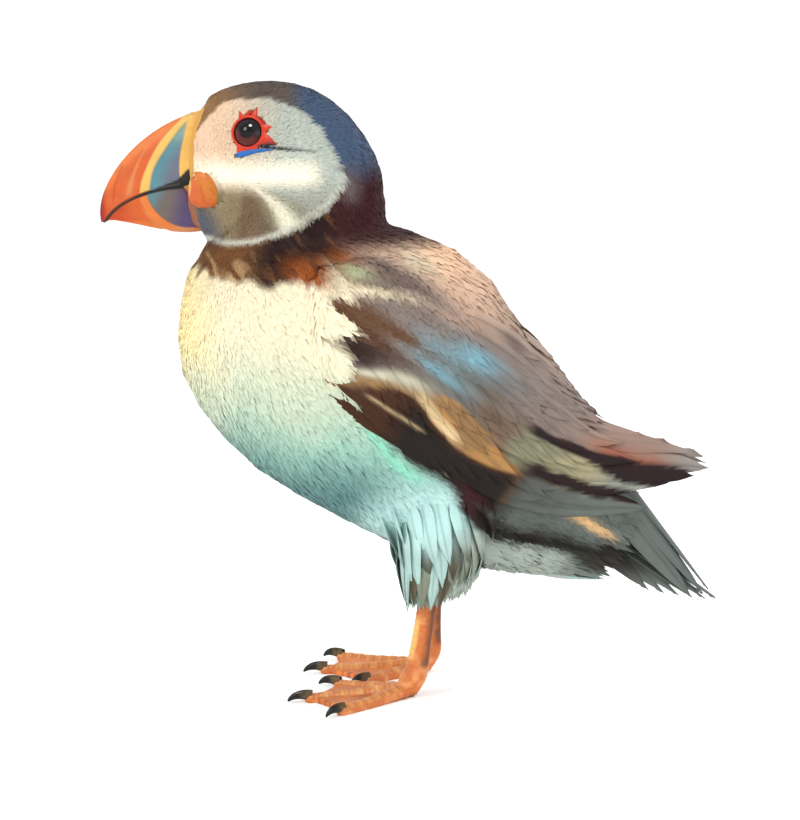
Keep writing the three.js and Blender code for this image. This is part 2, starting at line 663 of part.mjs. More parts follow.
function claw({ joint, toeWay }, spec, grow) {
  const way = toeWay(spec);
  const across = new THREE.Vector3(way.y, -way.x, 0);
  const start = joint.clone().addScaledVector(way, spec.length - 1);
  const curve = new THREE.QuadraticBezierCurve3(
    start.clone().setZ(CLAW.from),
    start.clone().addScaledVector(way, CLAW.length * 0.7).setZ(CLAW.arch),
    start.clone().addScaledVector(way, CLAW.length).setZ(CLAW.tip),
  );
  const ring = (t, turn, target) => {
    const radius = CLAW.radius * (1 - t) ** 0.62 + 0.16 + grow;
    const along = curve.getTangent(t);
    const up = across.clone().cross(along);
    if (up.z < 0) up.negate();
    target.copy(curve.getPoint(t));
    target.addScaledVector(across, CLAW.slim * radius * Math.cos(turn));
    return target.addScaledVector(up, radius * Math.sin(turn));
  };
  return loft(ring, (end, target) => target.copy(curve.getPoint(end)), 5, 6);
}

// A foot: toes, web and the rounded ankle joint over them, flat underneath.
function foot(leg) {
  const toes = TOES.map((spec) => toe(leg, spec));
  const top = leg.ankle.clone().setZ(LEG.ankleZ - GAP);
  const heel = leg.joint.clone().add(new THREE.Vector3(0, -1, 0.5));
  const bulge = (t) => ANKLE.bulge * Math.sin(2.7 * t);
  const ankle = limb(heel, top, (t) => [ANKLE.across + bulge(t), ANKLE.deep + bulge(t)], 4, 9);
  const whole = union([...toes, web(leg), ankle]);
  const claws = TOES.map((spec) => claw(leg, spec, GAP));
  const floor = { y: 0, z: -GAP / 2, tilt: 0 };
  return whole.intersect(beyond(floor, 1)).subtract(union(claws));
}

// ---------------------------------------------------------------- the bird

const bird = new THREE.Group();

// tolerance: how far the surface may move, in mm, to do with fewer triangles.
function addNode(name, shape, colour, roughness = 0.75, tolerance = 0.08) {
  const mesh = mainBody(shape.simplify(tolerance)).getMesh();
  const corners = mesh.numProp;
  const places = new Float32Array(mesh.numVert * 3);
  for (let i = 0; i < mesh.numVert; i++) {
    places.set(mesh.vertProperties.subarray(i * corners, i * corners + 3), i * 3);
  }
  const geometry = new THREE.BufferGeometry();
  geometry.setAttribute("position", new THREE.BufferAttribute(places, 3));
  geometry.setIndex(new THREE.BufferAttribute(mesh.triVerts, 1));
  geometry.computeVertexNormals();
  const material = new THREE.MeshStandardMaterial({ color: colour, roughness });
  const node = new THREE.Mesh(geometry, material);
  node.name = name;
  bird.add(node);
}

function addBody() {
  const head = form(HEAD_STATIONS, onHead, ...HEAD_MESH);
  const neck = form(NECK_STATIONS, onNeck, ...NECK_MESH);
  const trunk = form(TRUNK_STATIONS, onTrunk, ...TRUNK_MESH);
  const whole = union([head, neck, trunk]);
  const bill = makeBill();
  const onFace = SIDES.flatMap(({ sign }) => [
    orbit(sign),
    eyePlate(plateAbove(), sign, GAP),
    eyePlate(plateBelow(), sign, GAP),
    rosette(sign, GAP),
  ]);
  const headPart = whole.intersect(beyond(HEAD_CUT, 1)).subtract(union([bill.socket, ...onFace]));
  const neckPart = whole.intersect(beyond(HEAD_CUT, -1)).intersect(beyond(NECK_CUT, 1));
  addNode("head", headPart, COLOURS.white, 0.75, 0.1);
  addNode("neck", neckPart.subtract(bill.socket), COLOURS.black, 0.75, 0.15);
  addNode("trunk", whole.intersect(beyond(NECK_CUT, -1)), COLOURS.white, 0.75, 0.15);
  addNode("bill_upper", bill.upper, COLOURS.bill, 0.4);
  addNode("bill_lower", bill.lower, COLOURS.bill, 0.4);
  addNode("cere", bill.cere, COLOURS.cere, 0.5);
  return bill;
}

function addFace(bill) {
  for (const { name, sign } of SIDES) {
    const room = orbit(sign);
    addNode(`eye_${name}`, eyeball(sign), COLOURS.eye, 0.05);
    addNode(`eye_ring_${name}`, eyeRing(sign), COLOURS.ring, 0.5);
    addNode(`eye_plate_above_${name}`, eyePlate(plateAbove(), sign, 0).subtract(room), COLOURS.plate, 0.5);
    addNode(`eye_plate_below_${name}`, eyePlate(plateBelow(), sign, 0).subtract(room), COLOURS.plate, 0.5);
    addNode(`rosette_${name}`, rosette(sign, 0).subtract(bill.socket), COLOURS.rosette, 0.6);
  }
}

function addWingsAndTail() {
  const grown = form(TRUNK_STATIONS, onTrunk, ...TRUNK_MESH, GAP + 0.06);
  const neckGrown = form(NECK_STATIONS, onNeck, ...NECK_MESH, GAP + 0.06);
  const bodyGrown = grown.add(neckGrown);
  const left = makeLeftWing(bodyGrown);
  const right = left.mirror([1, 0, 0]);
  addNode("wing_left", left, COLOURS.black, 0.75, 0.15);
  addNode("wing_right", right, COLOURS.black, 0.75, 0.15);
  addNode("tail", makeTail(grown, [left, right]), COLOURS.black);
  return bodyGrown;
}

function addLegs(bodyGrown) {
  for (const side of SIDES) {
    const leg = stance(side);
    addNode(`thigh_${leg.name}`, thigh(leg.sign, bodyGrown, tarsus(leg, GAP)), COLOURS.white);
    addNode(`tarsus_${leg.name}`, tarsus(leg, 0), COLOURS.orange, 0.5);
    addNode(`foot_${leg.name}`, foot(leg), COLOURS.orange, 0.5);
    for (const spec of TOES) {
      addNode(`claw_${spec.name}_${leg.name}`, claw(leg, spec, 0), COLOURS.claw, 0.35);
    }
  }
}

addFace(addBody());
addLegs(addWingsAndTail());

export default bird;
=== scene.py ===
"""The looks of a life-size Atlantic puffin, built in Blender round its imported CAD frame.

Lengths are millimetres until a mesh is made. The bird faces -Y, and its left side is at +X.
"""

import math

import bmesh
import bpy
import numpy as np
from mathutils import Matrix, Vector
from mathutils.bvhtree import BVHTree


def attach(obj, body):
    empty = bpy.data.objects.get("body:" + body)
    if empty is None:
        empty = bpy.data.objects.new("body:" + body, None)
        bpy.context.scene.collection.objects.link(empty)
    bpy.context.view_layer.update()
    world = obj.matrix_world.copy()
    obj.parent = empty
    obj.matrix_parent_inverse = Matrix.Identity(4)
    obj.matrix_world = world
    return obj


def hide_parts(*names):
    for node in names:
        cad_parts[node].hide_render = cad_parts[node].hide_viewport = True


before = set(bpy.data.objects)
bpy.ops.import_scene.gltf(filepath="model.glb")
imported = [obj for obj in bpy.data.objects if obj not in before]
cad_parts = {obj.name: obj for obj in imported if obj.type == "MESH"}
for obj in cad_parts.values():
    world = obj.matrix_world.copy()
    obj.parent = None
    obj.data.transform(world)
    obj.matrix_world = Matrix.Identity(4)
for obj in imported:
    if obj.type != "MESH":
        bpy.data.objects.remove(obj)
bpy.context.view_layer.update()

MM = 0.001
SIDES = (("left", 1), ("right", -1))
rng = np.random.default_rng(11)
BAKE_MAP = "OFBake"
VANE_MAP = "Vane"  # across a big feather from its shaft, and along it

# ---------------------------------------------------------------- numbers


def unit(v):
    return v / np.maximum(np.linalg.norm(v, axis=-1, keepdims=True), 1e-9)


def ramp(x, low, high):
    """0 below low, 1 above high, and smooth between them."""
    t = np.clip((np.asarray(x, float) - low) / (high - low), 0, 1)
    return t * t * (3 - 2 * t)


def fall(x, low, high):
    """1 below low, 0 above high, and smooth between them."""
    return 1 - ramp(x, low, high)


def inside(value, low, high, soft=0.25):
    """1 where value is between low and high, with soft edges."""
    return ramp(value, low - soft, low + soft) * fall(value, high - soft, high + soft)


def hump(offset, wide):
    """1 where offset is 0, falling smoothly to nothing over a few widths to both sides."""
    return np.exp(-((offset / wide) ** 2))


def mix(a, b, t):
    return a + (b - a) * np.asarray(t)[..., None]


def srgb(red, green, blue):
    """A display colour as linear light."""
    c = np.array([red, green, blue]) / 255
    return np.where(c <= 0.04045, c / 12.92, ((c + 0.055) / 1.055) ** 2.4)


def spline(x, keys, values):
    """A smooth curve through values at keys, held at its ends."""
    keys = np.asarray(keys, float)
    values = np.asarray(values, float)
    slopes = np.gradient(values, keys, axis=0)
    x = np.clip(x, keys[0], keys[-1])
    i = np.clip(np.searchsorted(keys, x) - 1, 0, len(keys) - 2)
    span = keys[i + 1] - keys[i]
    t = (x - keys[i]) / span
    if values.ndim > 1:
        t, span = t[..., None], span[..., None]
    start = (1 + 2 * t) * (1 - t) ** 2 * values[i] + t * (1 - t) ** 2 * span * slopes[i]
    return start + t * t * (3 - 2 * t) * values[i + 1] + t * t * (t - 1) * span * slopes[i + 1]


def noise(points, size, seed=0):
    """Smooth random values from -1 to 1, with features about size across."""
    grid = np.asarray(points) / size + 500.0
    cell = np.floor(grid).astype(np.int64)
    part = grid - cell
    part = part * part * (3 - 2 * part)
    total = np.zeros(grid.shape[:-1])
    for corner in range(8):
        step = np.array([corner & 1, corner >> 1 & 1, corner >> 2 & 1])
        x, y, z = np.moveaxis(cell + step, -1, 0)
        mixed = (x * 73856093) ^ (y * 19349663) ^ (z * 83492791) ^ (seed * 40503 + 977)
        mixed = ((mixed ^ (mixed >> 13)) * 1274126177) & 0xFFFFFFFF
        value = ((mixed >> 8) & 0xFFFF) / 32767.5 - 1
        total += value * np.prod(np.where(step, part, 1 - part), axis=-1)
    return total


def streaks(size, seed, *axes):
    """noise over places given axis by axis, so that its features can be stretched along some of them."""
    return noise(np.stack(axes, -1), size, seed)


# ---------------------------------------------------------------- materials


class Nodes:
    """A new material's node tree, with short ways to add and link nodes."""

    def __init__(self, name):
        self.material = bpy.data.materials.new(name)
        self.material.use_nodes = True
        self.tree = self.material.node_tree
        self.shader = self.tree.nodes["Principled BSDF"]

    def add(self, kind, links=None, **values):
        node = self.tree.nodes.new(kind)
        for key, value in values.items():
            setattr(node, key, value)
        for socket, source in (links or {}).items():
            self.put(node.inputs[socket], source)
        return node

    def put(self, socket, source):
        if hasattr(source, "is_output"):
            self.tree.links.new(source, socket)
        else:
            socket.default_value = source

    def sum(self, operation, *values):
        node = self.add("ShaderNodeMath", operation=operation)
        for socket, value in zip(node.inputs, values):
            self.put(socket, value)
        return node.outputs[0]

    def tint(self):
        return self.add("ShaderNodeAttribute", attribute_name="Tint").outputs["Color"]

    def place(self):
        return self.add("ShaderNodeTexCoord").outputs["Object"]

    def cloud(self, scale, detail=3.0, place=None):
        node = self.add("ShaderNodeTexNoise", {"Scale": scale, "Detail": detail})
        self.put(node.inputs["Vector"], place or self.place())
        return node.outputs["Fac"]

    def span(self, value, low, high):
        """value, from 0 to 1, stretched to run from low to high."""
        return self.add(
            "ShaderNodeMapRange", {"Value": value, "To Min": low, "To Max": high}
        ).outputs["Result"]

    def darken(self, colour, factor):
        """colour multiplied by a number."""
        node = self.add("ShaderNodeVectorMath", operation="SCALE")
        self.put(node.inputs[0], colour)
        self.put(node.inputs["Scale"], factor)
        return node.outputs[0]

    def bump(self, height, strength, distance):
        node = self.add(
            "ShaderNodeBump", {"Height": height, "Strength": strength, "Distance": distance * MM}
        )
        self.put(self.shader.inputs["Normal"], node.outputs["Normal"])

    def set(self, **values):
        for key, value in values.items():
            self.put(self.shader.inputs[key.replace("_", " ")], value)


def plumage_material():
    """Small body feathers: soft and matt, with fine streaks."""
    n = Nodes("plumage")
    n.set(Base_Color=n.darken(n.tint(), n.span(n.cloud(1400.0), 0.86, 1.1)))
    n.set(Roughness=n.span(n.cloud(300.0), 0.62, 0.8))
    n.set(Specular_IOR_Level=0.12, Sheen_Weight=0.03, Sheen_Roughness=0.5)
    return n.material


def barb_lines(n):
    """Fine lines along the barbs, which slant forward from the shaft."""
    split = n.add(
        "ShaderNodeSeparateXYZ",
        {"Vector": n.add("ShaderNodeUVMap", uv_map=VANE_MAP).outputs["UV"]},
    )
    along = n.sum("MULTIPLY", split.outputs["Y"], 330.0)
    outward = n.sum("MULTIPLY", n.sum("ABSOLUTE", split.outputs["X"]), 60.0)
    wave = n.sum("SINE", n.sum("SUBTRACT", along, outward))
    return n.sum("ADD", n.sum("MULTIPLY", wave, 0.5), 0.5)


def flight_material():
    """Big wing and tail feathers: smoother, with barbs and a satin shine."""
    n = Nodes("flight_feather")
    barbs = barb_lines(n)
    mottle = n.cloud(260.0)
    shade = n.sum("MULTIPLY", n.span(barbs, 0.9, 1.05), n.span(mottle, 0.86, 1.1))
    n.set(Base_Color=n.darken(n.tint(), shade))
    n.set(Roughness=n.span(mottle, 0.42, 0.6))
    n.set(Specular_IOR_Level=0.2)
    n.bump(barbs, 0.35, 0.06)
    return n.material


def skin_material():
    """The skin under the feathers: matt, goose-pimpled."""
    n = Nodes("feather_skin")
    pimples = n.add("ShaderNodeTexVoronoi", {"Vector": n.place(), "Scale": 700.0})
    n.set(Base_Color=n.darken(n.tint(), n.span(n.cloud(220.0), 0.82, 1.05)))
    n.set(Roughness=n.span(n.cloud(500.0), 0.7, 0.85), Specular_IOR_Level=0.2)
    n.bump(pimples.outputs["Distance"], 0.3, 0.2)
    return n.material


def horn_material(name, rough, coat, grain=900.0):
    """Bill sheath and claws: hard, faintly ridged."""
    n = Nodes(name)
    fine = n.cloud(grain, 4.0)
    n.set(Base_Color=n.darken(n.tint(), n.span(n.cloud(180.0), 0.9, 1.07)))
    n.set(Roughness=n.span(fine, rough, rough + 0.16))
    n.set(Coat_Weight=coat, Coat_Roughness=0.25, Specular_IOR_Level=0.18)
    n.bump(fine, 0.25, 0.08)
    return n.material


def flesh_material(name, rough, scale, depth):
    """Bare skin of ring, gape and legs: finely scaled and a little moist."""
    n = Nodes(name)
    cells = n.add(
        "ShaderNodeTexVoronoi", {"Vector": n.place(), "Scale": scale}, feature="SMOOTH_F1"
    ).outputs["Distance"]
    n.set(Base_Color=n.darken(n.tint(), n.span(cells, 1.08, 0.84)))
    n.set(Roughness=n.span(n.cloud(scale), rough, rough + 0.18))
    n.set(Specular_IOR_Level=0.25, Coat_Weight=0.05, Coat_Roughness=0.3)
    n.set(Subsurface_Weight=0.08, Subsurface_Scale=0.8 * MM)
    n.bump(n.sum("SUBTRACT", 1.0, cells), 0.4, depth)
    return n.material


def eye_material():
    n = Nodes("eyeball")
    n.set(Base_Color=n.darken(n.tint(), n.span(n.cloud(2500.0), 0.7, 1.25)))
    n.set(Roughness=n.span(n.cloud(500.0), 0.05, 0.09), Specular_IOR_Level=0.14)
    n.set(Coat_Weight=0.2, Coat_Roughness=0.02, Coat_IOR=1.4)
    return n.material


# ---------------------------------------------------------------- meshes

SMOOTH_IN, SMOOTH_OUT = 0.55, -0.57  # of the way to the neighbours' mean, in turns


def new_object(name, points, quads, material, tint, replaces=(), maps=None):
    """A smooth mesh from millimetre points, riding on the root body, in place of the CAD nodes replaces.

    points and tint may be grids. tint: a linear colour for each point. maps: {name: uv per face corner}.
    """
    points, tint = np.reshape(points, (-1, 3)), np.reshape(tint, (-1, 3))
    mesh = bpy.data.meshes.new(name)
    mesh.vertices.add(len(points))
    mesh.vertices.foreach_set("co", (np.asarray(points, np.float32) * MM).ravel())
    mesh.loops.add(quads.size)
    mesh.loops.foreach_set("vertex_index", np.ascontiguousarray(quads, np.int32).ravel())
    mesh.polygons.add(len(quads))
    mesh.polygons.foreach_set("loop_start", np.arange(0, quads.size, quads.shape[1], dtype=np.int32))
    colours = np.ones((len(points), 4), np.float32)
    colours[:, :3] = np.clip(tint, 0, 1)
    tints = mesh.color_attributes.new("Tint", "FLOAT_COLOR", "POINT")
    tints.data.foreach_set("color", colours.ravel())
    for key, uv in (maps or {}).items():
        mesh.uv_layers.new(name=key).data.foreach_set("uv", np.asarray(uv, np.float32).ravel())
    mesh.update(calc_edges=True)
    mesh.validate()
    mesh.shade_smooth()
    mesh.materials.append(material)
    obj = bpy.data.objects.new(name, mesh)
    bpy.context.scene.collection.objects.link(obj)
    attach(obj, "root")
    if replaces:
        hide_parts(*replaces)
    return obj


def strip_quads(rows, columns, closed=False):
    """Corner numbers of a grid of rows by columns points, closed round the columns or not."""
    row = np.arange(rows - 1)[:, None]
    column = np.arange(columns if closed else columns - 1)[None, :]
    after = (column + 1) % columns
    corners = [row * columns + column, row * columns + after]
    corners += [(row + 1) * columns + after, (row + 1) * columns + column]
    return np.stack([np.broadcast_to(c, (rows - 1, column.size)) for c in corners], -1).reshape(-1, 4)


def many_strips(count, rows, columns):
    """strip_quads for count grids whose points follow each other."""
    starts = np.arange(count) * rows * columns
    return (strip_quads(rows, columns)[None] + starts[:, None, None]).reshape(-1, 4)


def face_normals(points, quads):
    a, b, c, d = (points[quads[:, i]] for i in range(4))
    return np.cross(c - a, d - b) / 2


def vertex_normals(points, quads):
    """Area-weighted normals at the points."""
    across = face_normals(points, quads)
    total = np.zeros_like(points)
    for axis in range(3):
        for corner in range(4):
            total[:, axis] += np.bincount(quads[:, corner], across[:, axis], len(points))
    return unit(total)


def outward(points, quads):
    """The same faces, all facing away from the middle of their shape."""
    volume = (face_normals(points, quads) * (points[quads].mean(1) - points.mean(0))).sum()
    return quads if volume > 0 else quads[:, ::-1]


def shell_piece(name, grid, material, slot, tint, *nodes):
    """A piece from a grid of points that closes round its columns, in place of CAD nodes."""
    quads = outward(grid.reshape(-1, 3), strip_quads(*grid.shape[:2], closed=True))
    new_object(name, grid, quads, material, tint, nodes)


def circle(count):
    """Angles spread evenly round a circle."""
    return np.arange(count) / count * 2 * math.pi


def rings(path, side, across, up, height, columns, keel=0.0):
    """Elliptical rings along path, with half sizes across and height by row. keel: a ridge on the top."""
    turn = circle(columns)
    rise = np.sin(turn) * (1 + keel * np.maximum(np.sin(turn), 0) ** 6)
    ring = np.cos(turn)[None, :, None] * (side * np.asarray(across)[:, None])[:, None]
    ring = ring + rise[None, :, None] * (up * np.asarray(height)[:, None])[:, None]
    return path[:, None] + ring


def relaxed(points, quads, rounds):
    """Points smoothed over their neighbours without losing volume."""
    edges = np.concatenate([quads[:, [i, (i + 1) % 4]] for i in range(4)])
    edges = np.unique(np.sort(edges, axis=1), axis=0)
    ends = np.concatenate([edges, edges[:, ::-1]])
    count = np.maximum(np.bincount(ends[:, 0], minlength=len(points)), 1)
    for turn in range(rounds * 2):
        share = SMOOTH_IN if turn % 2 == 0 else SMOOTH_OUT
        mean = np.stack(
            [np.bincount(ends[:, 0], points[ends[:, 1], i], len(points)) / count for i in range(3)], 1
        )
        points = points + share * (mean - points)
    return points


def remeshed(parts, voxel):
    """(points, quads) of the union of closed (points, faces) parts, as an even skin."""
    whole = bmesh.new()
    for points, faces in parts:
        made = [whole.verts.new(p) for p in points]
        for face in faces:
            corners = [made[i] for i in dict.fromkeys(face)]
            if len(corners) > 2:
                whole.faces.new(corners)
    mesh = bpy.data.meshes.new("remesh")
    whole.to_mesh(mesh)
    whole.free()
    obj = bpy.data.objects.new("remesh", mesh)
    bpy.context.scene.collection.objects.link(obj)
    modifier = obj.modifiers.new("voxels", "REMESH")
    modifier.mode = "VOXEL"
    modifier.voxel_size = voxel
    made = obj.evaluated_get(bpy.context.evaluated_depsgraph_get()).to_mesh()
    points = np.empty(len(made.vertices) * 3, np.float32)
    made.vertices.foreach_get("co", points)
    quads = np.empty(len(made.loops), np.int32)
    made.loops.foreach_get("vertex_index", quads)
    points, quads = points.reshape(-1, 3).astype(float), quads.reshape(-1, 4)
    bpy.data.objects.remove(obj)
    bpy.data.meshes.remove(mesh)
    return points, quads


class Surface:
    """A smooth surface that gives its nearest points and normals."""

    def __init__(self, points, quads):
        self.points = points
        self.quads = quads
        self.normals = vertex_normals(points, quads)
        self.tree = BVHTree.FromPolygons(points.tolist(), quads.tolist())

    def nearest(self, places):
        found = [self.tree.find_nearest(p) for p in places.tolist()]
        spots = np.array([f[0] for f in found])
        corners = self.quads[[f[2] for f in found]]
        gap = np.linalg.norm(self.points[corners] - spots[:, None], axis=2)
        weight = (1 / (gap + 0.05) ** 2)[..., None]
        return spots, unit((self.normals[corners] * weight).sum(1))


def cad_points(*nodes):
    return np.concatenate([[tuple(v.co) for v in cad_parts[n].data.vertices] for n in nodes]) / MM


# ---------------------------------------------------------------- the body's form

# The trunk's axis runs back and down, as in the CAD part.
TILT = math.radians(33)
AXIS_START = np.array([0, -20.0, 112.0])
AXIS_BACK = np.array([0, math.cos(TILT), -math.sin(TILT)])
AXIS_UP = np.array([0, math.sin(TILT), math.cos(TILT)])
BILL_BASE = np.array([0, -72.0, 174.0])
LEG_X = 17.0

FLESH = ("head", "neck", "trunk", "thigh_left", "thigh_right")
FACE_PARTS = ("bill_upper", "bill_lower", "cere") + tuple(
    f"{part}_{side}"
    for side, _ in SIDES
    for part in ("eye", "eye_ring", "eye_plate_above", "eye_plate_below", "rosette")
)
# The wing is feathers only behind two cuts: a place on the trunk's axis, and a line that slopes up from
# its lower edge. Each is a place (at, up) and the direction in which the flesh is taken away.
WING_CUTS = (((62, 0), (1, 0)), ((8, -7), (0.447, -0.894)))
SKIN_VOXEL = 1.1
CLOSE_GAPS = 0.4  # how much each solid is grown, so that neighbours meet


def axis_place(points):
    """Places along the trunk's axis and over it."""
    from_start = points - AXIS_START
    return from_start @ AXIS_BACK, from_start @ AXIS_UP


def cad_solid(node, cuts=()):
    """A CAD node's (points, faces), grown a little, and cut by planes across the bird's side view."""
    solid = bmesh.new()
    solid.from_mesh(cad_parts[node].data)
    bmesh.ops.remove_doubles(solid, verts=solid.verts, dist=0.001 * MM)
    for (at, up), (back, rise) in cuts:
        geometry = [*solid.verts, *solid.edges, *solid.faces]
        place = (AXIS_START + AXIS_BACK * at + AXIS_UP * up) * MM
        away = AXIS_BACK * back + AXIS_UP * rise
        bmesh.ops.bisect_plane(
            solid, geom=geometry, plane_co=place.tolist(), plane_no=away.tolist(), clear_outer=True
        )
        bmesh.ops.holes_fill(solid, edges=solid.edges)
    bmesh.ops.recalc_face_normals(solid, faces=solid.faces)
    solid.normal_update()
    points = [tuple((v.co + v.normal * CLOSE_GAPS * MM) / MM) for v in solid.verts]
    faces = [[v.index for v in f.verts] for f in solid.faces]
    solid.free()
    return points, faces


def body_form():
    """The outside of the plumage, from the CAD solids, as one even surface."""
    parts = [cad_solid(node) for node in FLESH + FACE_PARTS]
    parts += [cad_solid(f"wing_{side}", WING_CUTS) for side, _ in SIDES]
    points, quads = remeshed(parts, SKIN_VOXEL)
    points = relaxed(points, quads, 14)
    return points - CLOSE_GAPS * vertex_normals(points, quads), quads


def face_frame(axis):
    """Two directions across axis: back along the head, and up."""
    back = unit(np.array([0, 1.0, 0]) - axis * axis[1])
    up = unit(np.cross(axis, back))
    return back, up * np.sign(up[2])


def eye_place(side):
    """The middle of the eyeball and the way it looks, from the CAD eye and its ring."""
    ball = cad_points(f"eye_{side}")
    ring = cad_points(f"eye_ring_{side}")
    middle = (ball.min(0) + ball.max(0)) / 2
    axis = np.linalg.svd(ring - ring.mean(0), full_matrices=False)[2][-1]
    return middle, axis * np.sign(axis[0] * middle[0])


def beside_eye(points, side):
    """Places as seen from the eyeball: how far back, up and out of the face they lie."""
    centre, axis = eye_place(side)
    back, up = face_frame(axis)
    local = points - centre
    return local @ back, local @ up, local @ axis


def flattened(points, side, inner, outer):
    """Points round the eye, brought onto the smooth surface that their surroundings suggest."""
    u, v, height = beside_eye(points, side)
    radius = np.hypot(u, v)
    near = (height > -10) & (radius < outer)
    rim = near & (radius > inner)
    terms = lambda m: np.stack([np.ones(m.sum()), u[m], v[m], u[m] ** 2, u[m] * v[m], v[m] ** 2], 1)
    fit = np.linalg.lstsq(terms(rim), height[rim], rcond=None)[0]
    ideal = terms(near) @ fit
    share = fall(radius[near], inner * 0.85, inner * 1.15)
    points[near] += (share * (ideal - height[near]))[:, None] * eye_place(side)[1]
    return points


EYE_PATCH = (12.0, 17.0)  # the solids round the eye lie within the first, and bare face between the two
EYE_SOCKET = (4.4, 6.3)  # radii of the floor and the rim of the hollow that the eyeball fills
SOCKET_DEEP = 1.8
CREASE_DEEP, CREASE_HALF = 0.75, 0.8
CREASE_START = (4.5, -5.0)  # behind the eye and above it, in mm
CREASE_END = (21.0, -6.7)


def crease_distance(u, v):
    """How far a place beside the eye lies from the line that runs back from it."""
    a, b = np.array(CREASE_START), np.array(CREASE_END)
    t = np.clip(((u - a[0]) * (b - a)[0] + (v - a[1]) * (b - a)[1]) / ((b - a) @ (b - a)), 0, 1)
    return np.hypot(u - a[0] - t * (b - a)[0], v - a[1] - t * (b - a)[1]), t


def shaped_face(points, side):
    """The head's side with the eye's socket and the crease behind it."""
    _, axis = eye_place(side)
    points = flattened(points, side, *EYE_PATCH)
    u, v, height = beside_eye(points, side)
    here = height > -8
    socket = fall(np.hypot(u, v), *EYE_SOCKET) * SOCKET_DEEP
    far, along = crease_distance(u, v)
    crease = CREASE_DEEP * hump(far, CREASE_HALF) * (1 - 0.8 * along)
    points[here] -= ((socket + crease)[here])[:, None] * axis
    return points


BODY_SPAN = [5, 20, 42, 62, 95, 150]  # distances from the bill's base


def bill_distance(points):
    return np.linalg.norm(points - BILL_BASE, axis=-1)


def thigh_gap(points, half_across, middle, half_along):
    """How far places lie from a thigh's middle, seen from above, as a share of some half sizes."""
    return np.hypot((np.abs(points[:, 0]) - LEG_X) / half_across, (points[:, 1] - middle) / half_along)


def coat_depth(points):
    """How deep the skin lies under the plumage."""
    return spline(bill_distance(points), BODY_SPAN, [0.7, 0.95, 1.3, 1.8, 2.4, 2.6])


HEM_BELOW = 46.0  # height over the floor
REAR_FREE = 101.0  # place along the axis
TAIL_CONVERGE = 0.024  # how much the rump's feathers turn to the axis for each mm that they lie off it


def flies_free(points):
    """Places where feathers run straight on instead of round the body: the thigh's hem and the rump's end."""
    hem = (points[:, 2] < HEM_BELOW) & (thigh_gap(points, 15, 10, 18) < 1)
    return hem | (axis_place(points)[0] > REAR_FREE)


def flow(points, normals):
    """The lie of the coat: the way that feathers point on the surface."""
    y, z = points[:, 1], points[:, 2]
    on_head = ramp(z - 0.9 * (y + 45), 146, 166)
    away = unit(points - BILL_BASE)
    nape = unit(np.array([0, 0.35, -1.0]))
    front = np.clip(-normals[:, 1], 0, 1)
    body = unit(AXIS_BACK + front[:, None] * np.array([0, -0.4, -1.0]))
    on_neck = ramp(z + 0.35 * y, 118, 140)
    way = mix(body, nape, on_neck)
    way = mix(way, away, on_head)
    on_leg = fall(thigh_gap(points, 14, 10, 17), 0.85, 1.15) * fall(z, 58, 74)
    leg = np.stack([np.sign(points[:, 0]) * LEG_X - points[:, 0], 9 - y, -34 + 0 * y], 1)
    way = mix(unit(way), unit(leg), on_leg)
    at, up = axis_place(points)
    to_tail = unit(AXIS_BACK - AXIS_UP * (TAIL_CONVERGE * up)[:, None])
    way = mix(way, to_tail, ramp(at, 84, 100))
    flat = way - normals * (way * normals).sum(1, keepdims=True)
    return unit(np.where(flies_free(points)[:, None], way, flat))


# ---------------------------------------------------------------- markings

IVORY = srgb(238, 226, 194)
CREAM = srgb(255, 234, 172)
PALE_GREEN = srgb(200, 209, 184)
MINT_HIGHLIGHT = srgb(140, 216, 188)
COOL = srgb(146, 188, 172)
BELLY_SHADE = srgb(82, 122, 124)
THIGH_PALE = srgb(188, 226, 222)
HEM_SHADE = srgb(104, 98, 80)
UNDERTAIL = srgb(158, 168, 158)
DUSKY = srgb(46, 34, 28)
SLATE_GREEN = srgb(96, 103, 98)
WINE = srgb(66, 28, 36)
TAIL_GREEN = srgb(92, 100, 96)
TAIL_BLACK = srgb(22, 15, 9)
TAIL_CREAM = srgb(226, 182, 126)
COLLAR = srgb(112, 72, 38)
COLLAR_LIGHT = srgb(196, 160, 112)
COLLAR_DARK = srgb(26, 2, 0)
RUST = srgb(146, 74, 22)
CAP_FRONT = srgb(140, 106, 70)
CAP_TOP = srgb(92, 80, 72)
CAP_BACK = srgb(64, 82, 108)
NAPE = srgb(56, 20, 22)
NAPE_GREY = srgb(150, 138, 136)
MAUVE = srgb(128, 113, 105)
MAUVE_DARK = srgb(94, 76, 68)
PINK = srgb(200, 166, 142)
PINK_HIGHLIGHT = srgb(232, 192, 158)
CREAM_HIGHLIGHT = srgb(236, 222, 188)
SHEEN = srgb(116, 160, 174)
GREY_BLUE = srgb(100, 112, 110)
FOREWING_BROWN = srgb(92, 60, 36)
SHOULDER_OLIVE = srgb(176, 180, 144)
WING_TAN = srgb(142, 108, 68)
WING_GOLD = srgb(172, 126, 72)
WING_CREAM = srgb(220, 194, 148)
PALE_HIGHLIGHT = srgb(198, 194, 170)
WING_BROWN = srgb(104, 82, 62)
WING_DEEP = srgb(62, 30, 8)
WING_BLACK = srgb(22, 11, 5)
WING_OLIVE = srgb(130, 128, 102)
WING_SAND = srgb(160, 152, 118)
WING_RUST = srgb(150, 78, 52)
WING_PINK = srgb(144, 114, 100)
WING_GREY = srgb(136, 128, 122)
WING_STONE = srgb(142, 146, 136)
WING_MAROON = srgb(28, 3, 5)
FLANK_GREEN = srgb(100, 112, 100)
FOREWING = srgb(38, 18, 14)
FACE_FRONT = srgb(228, 196, 166)
FACE_BAND = srgb(255, 248, 224)
FACE_BACK = srgb(174, 182, 172)
FACE_LOW = srgb(114, 104, 72)
FACE_BROWN = srgb(84, 54, 22)
FACE_CHIN = srgb(92, 94, 104)
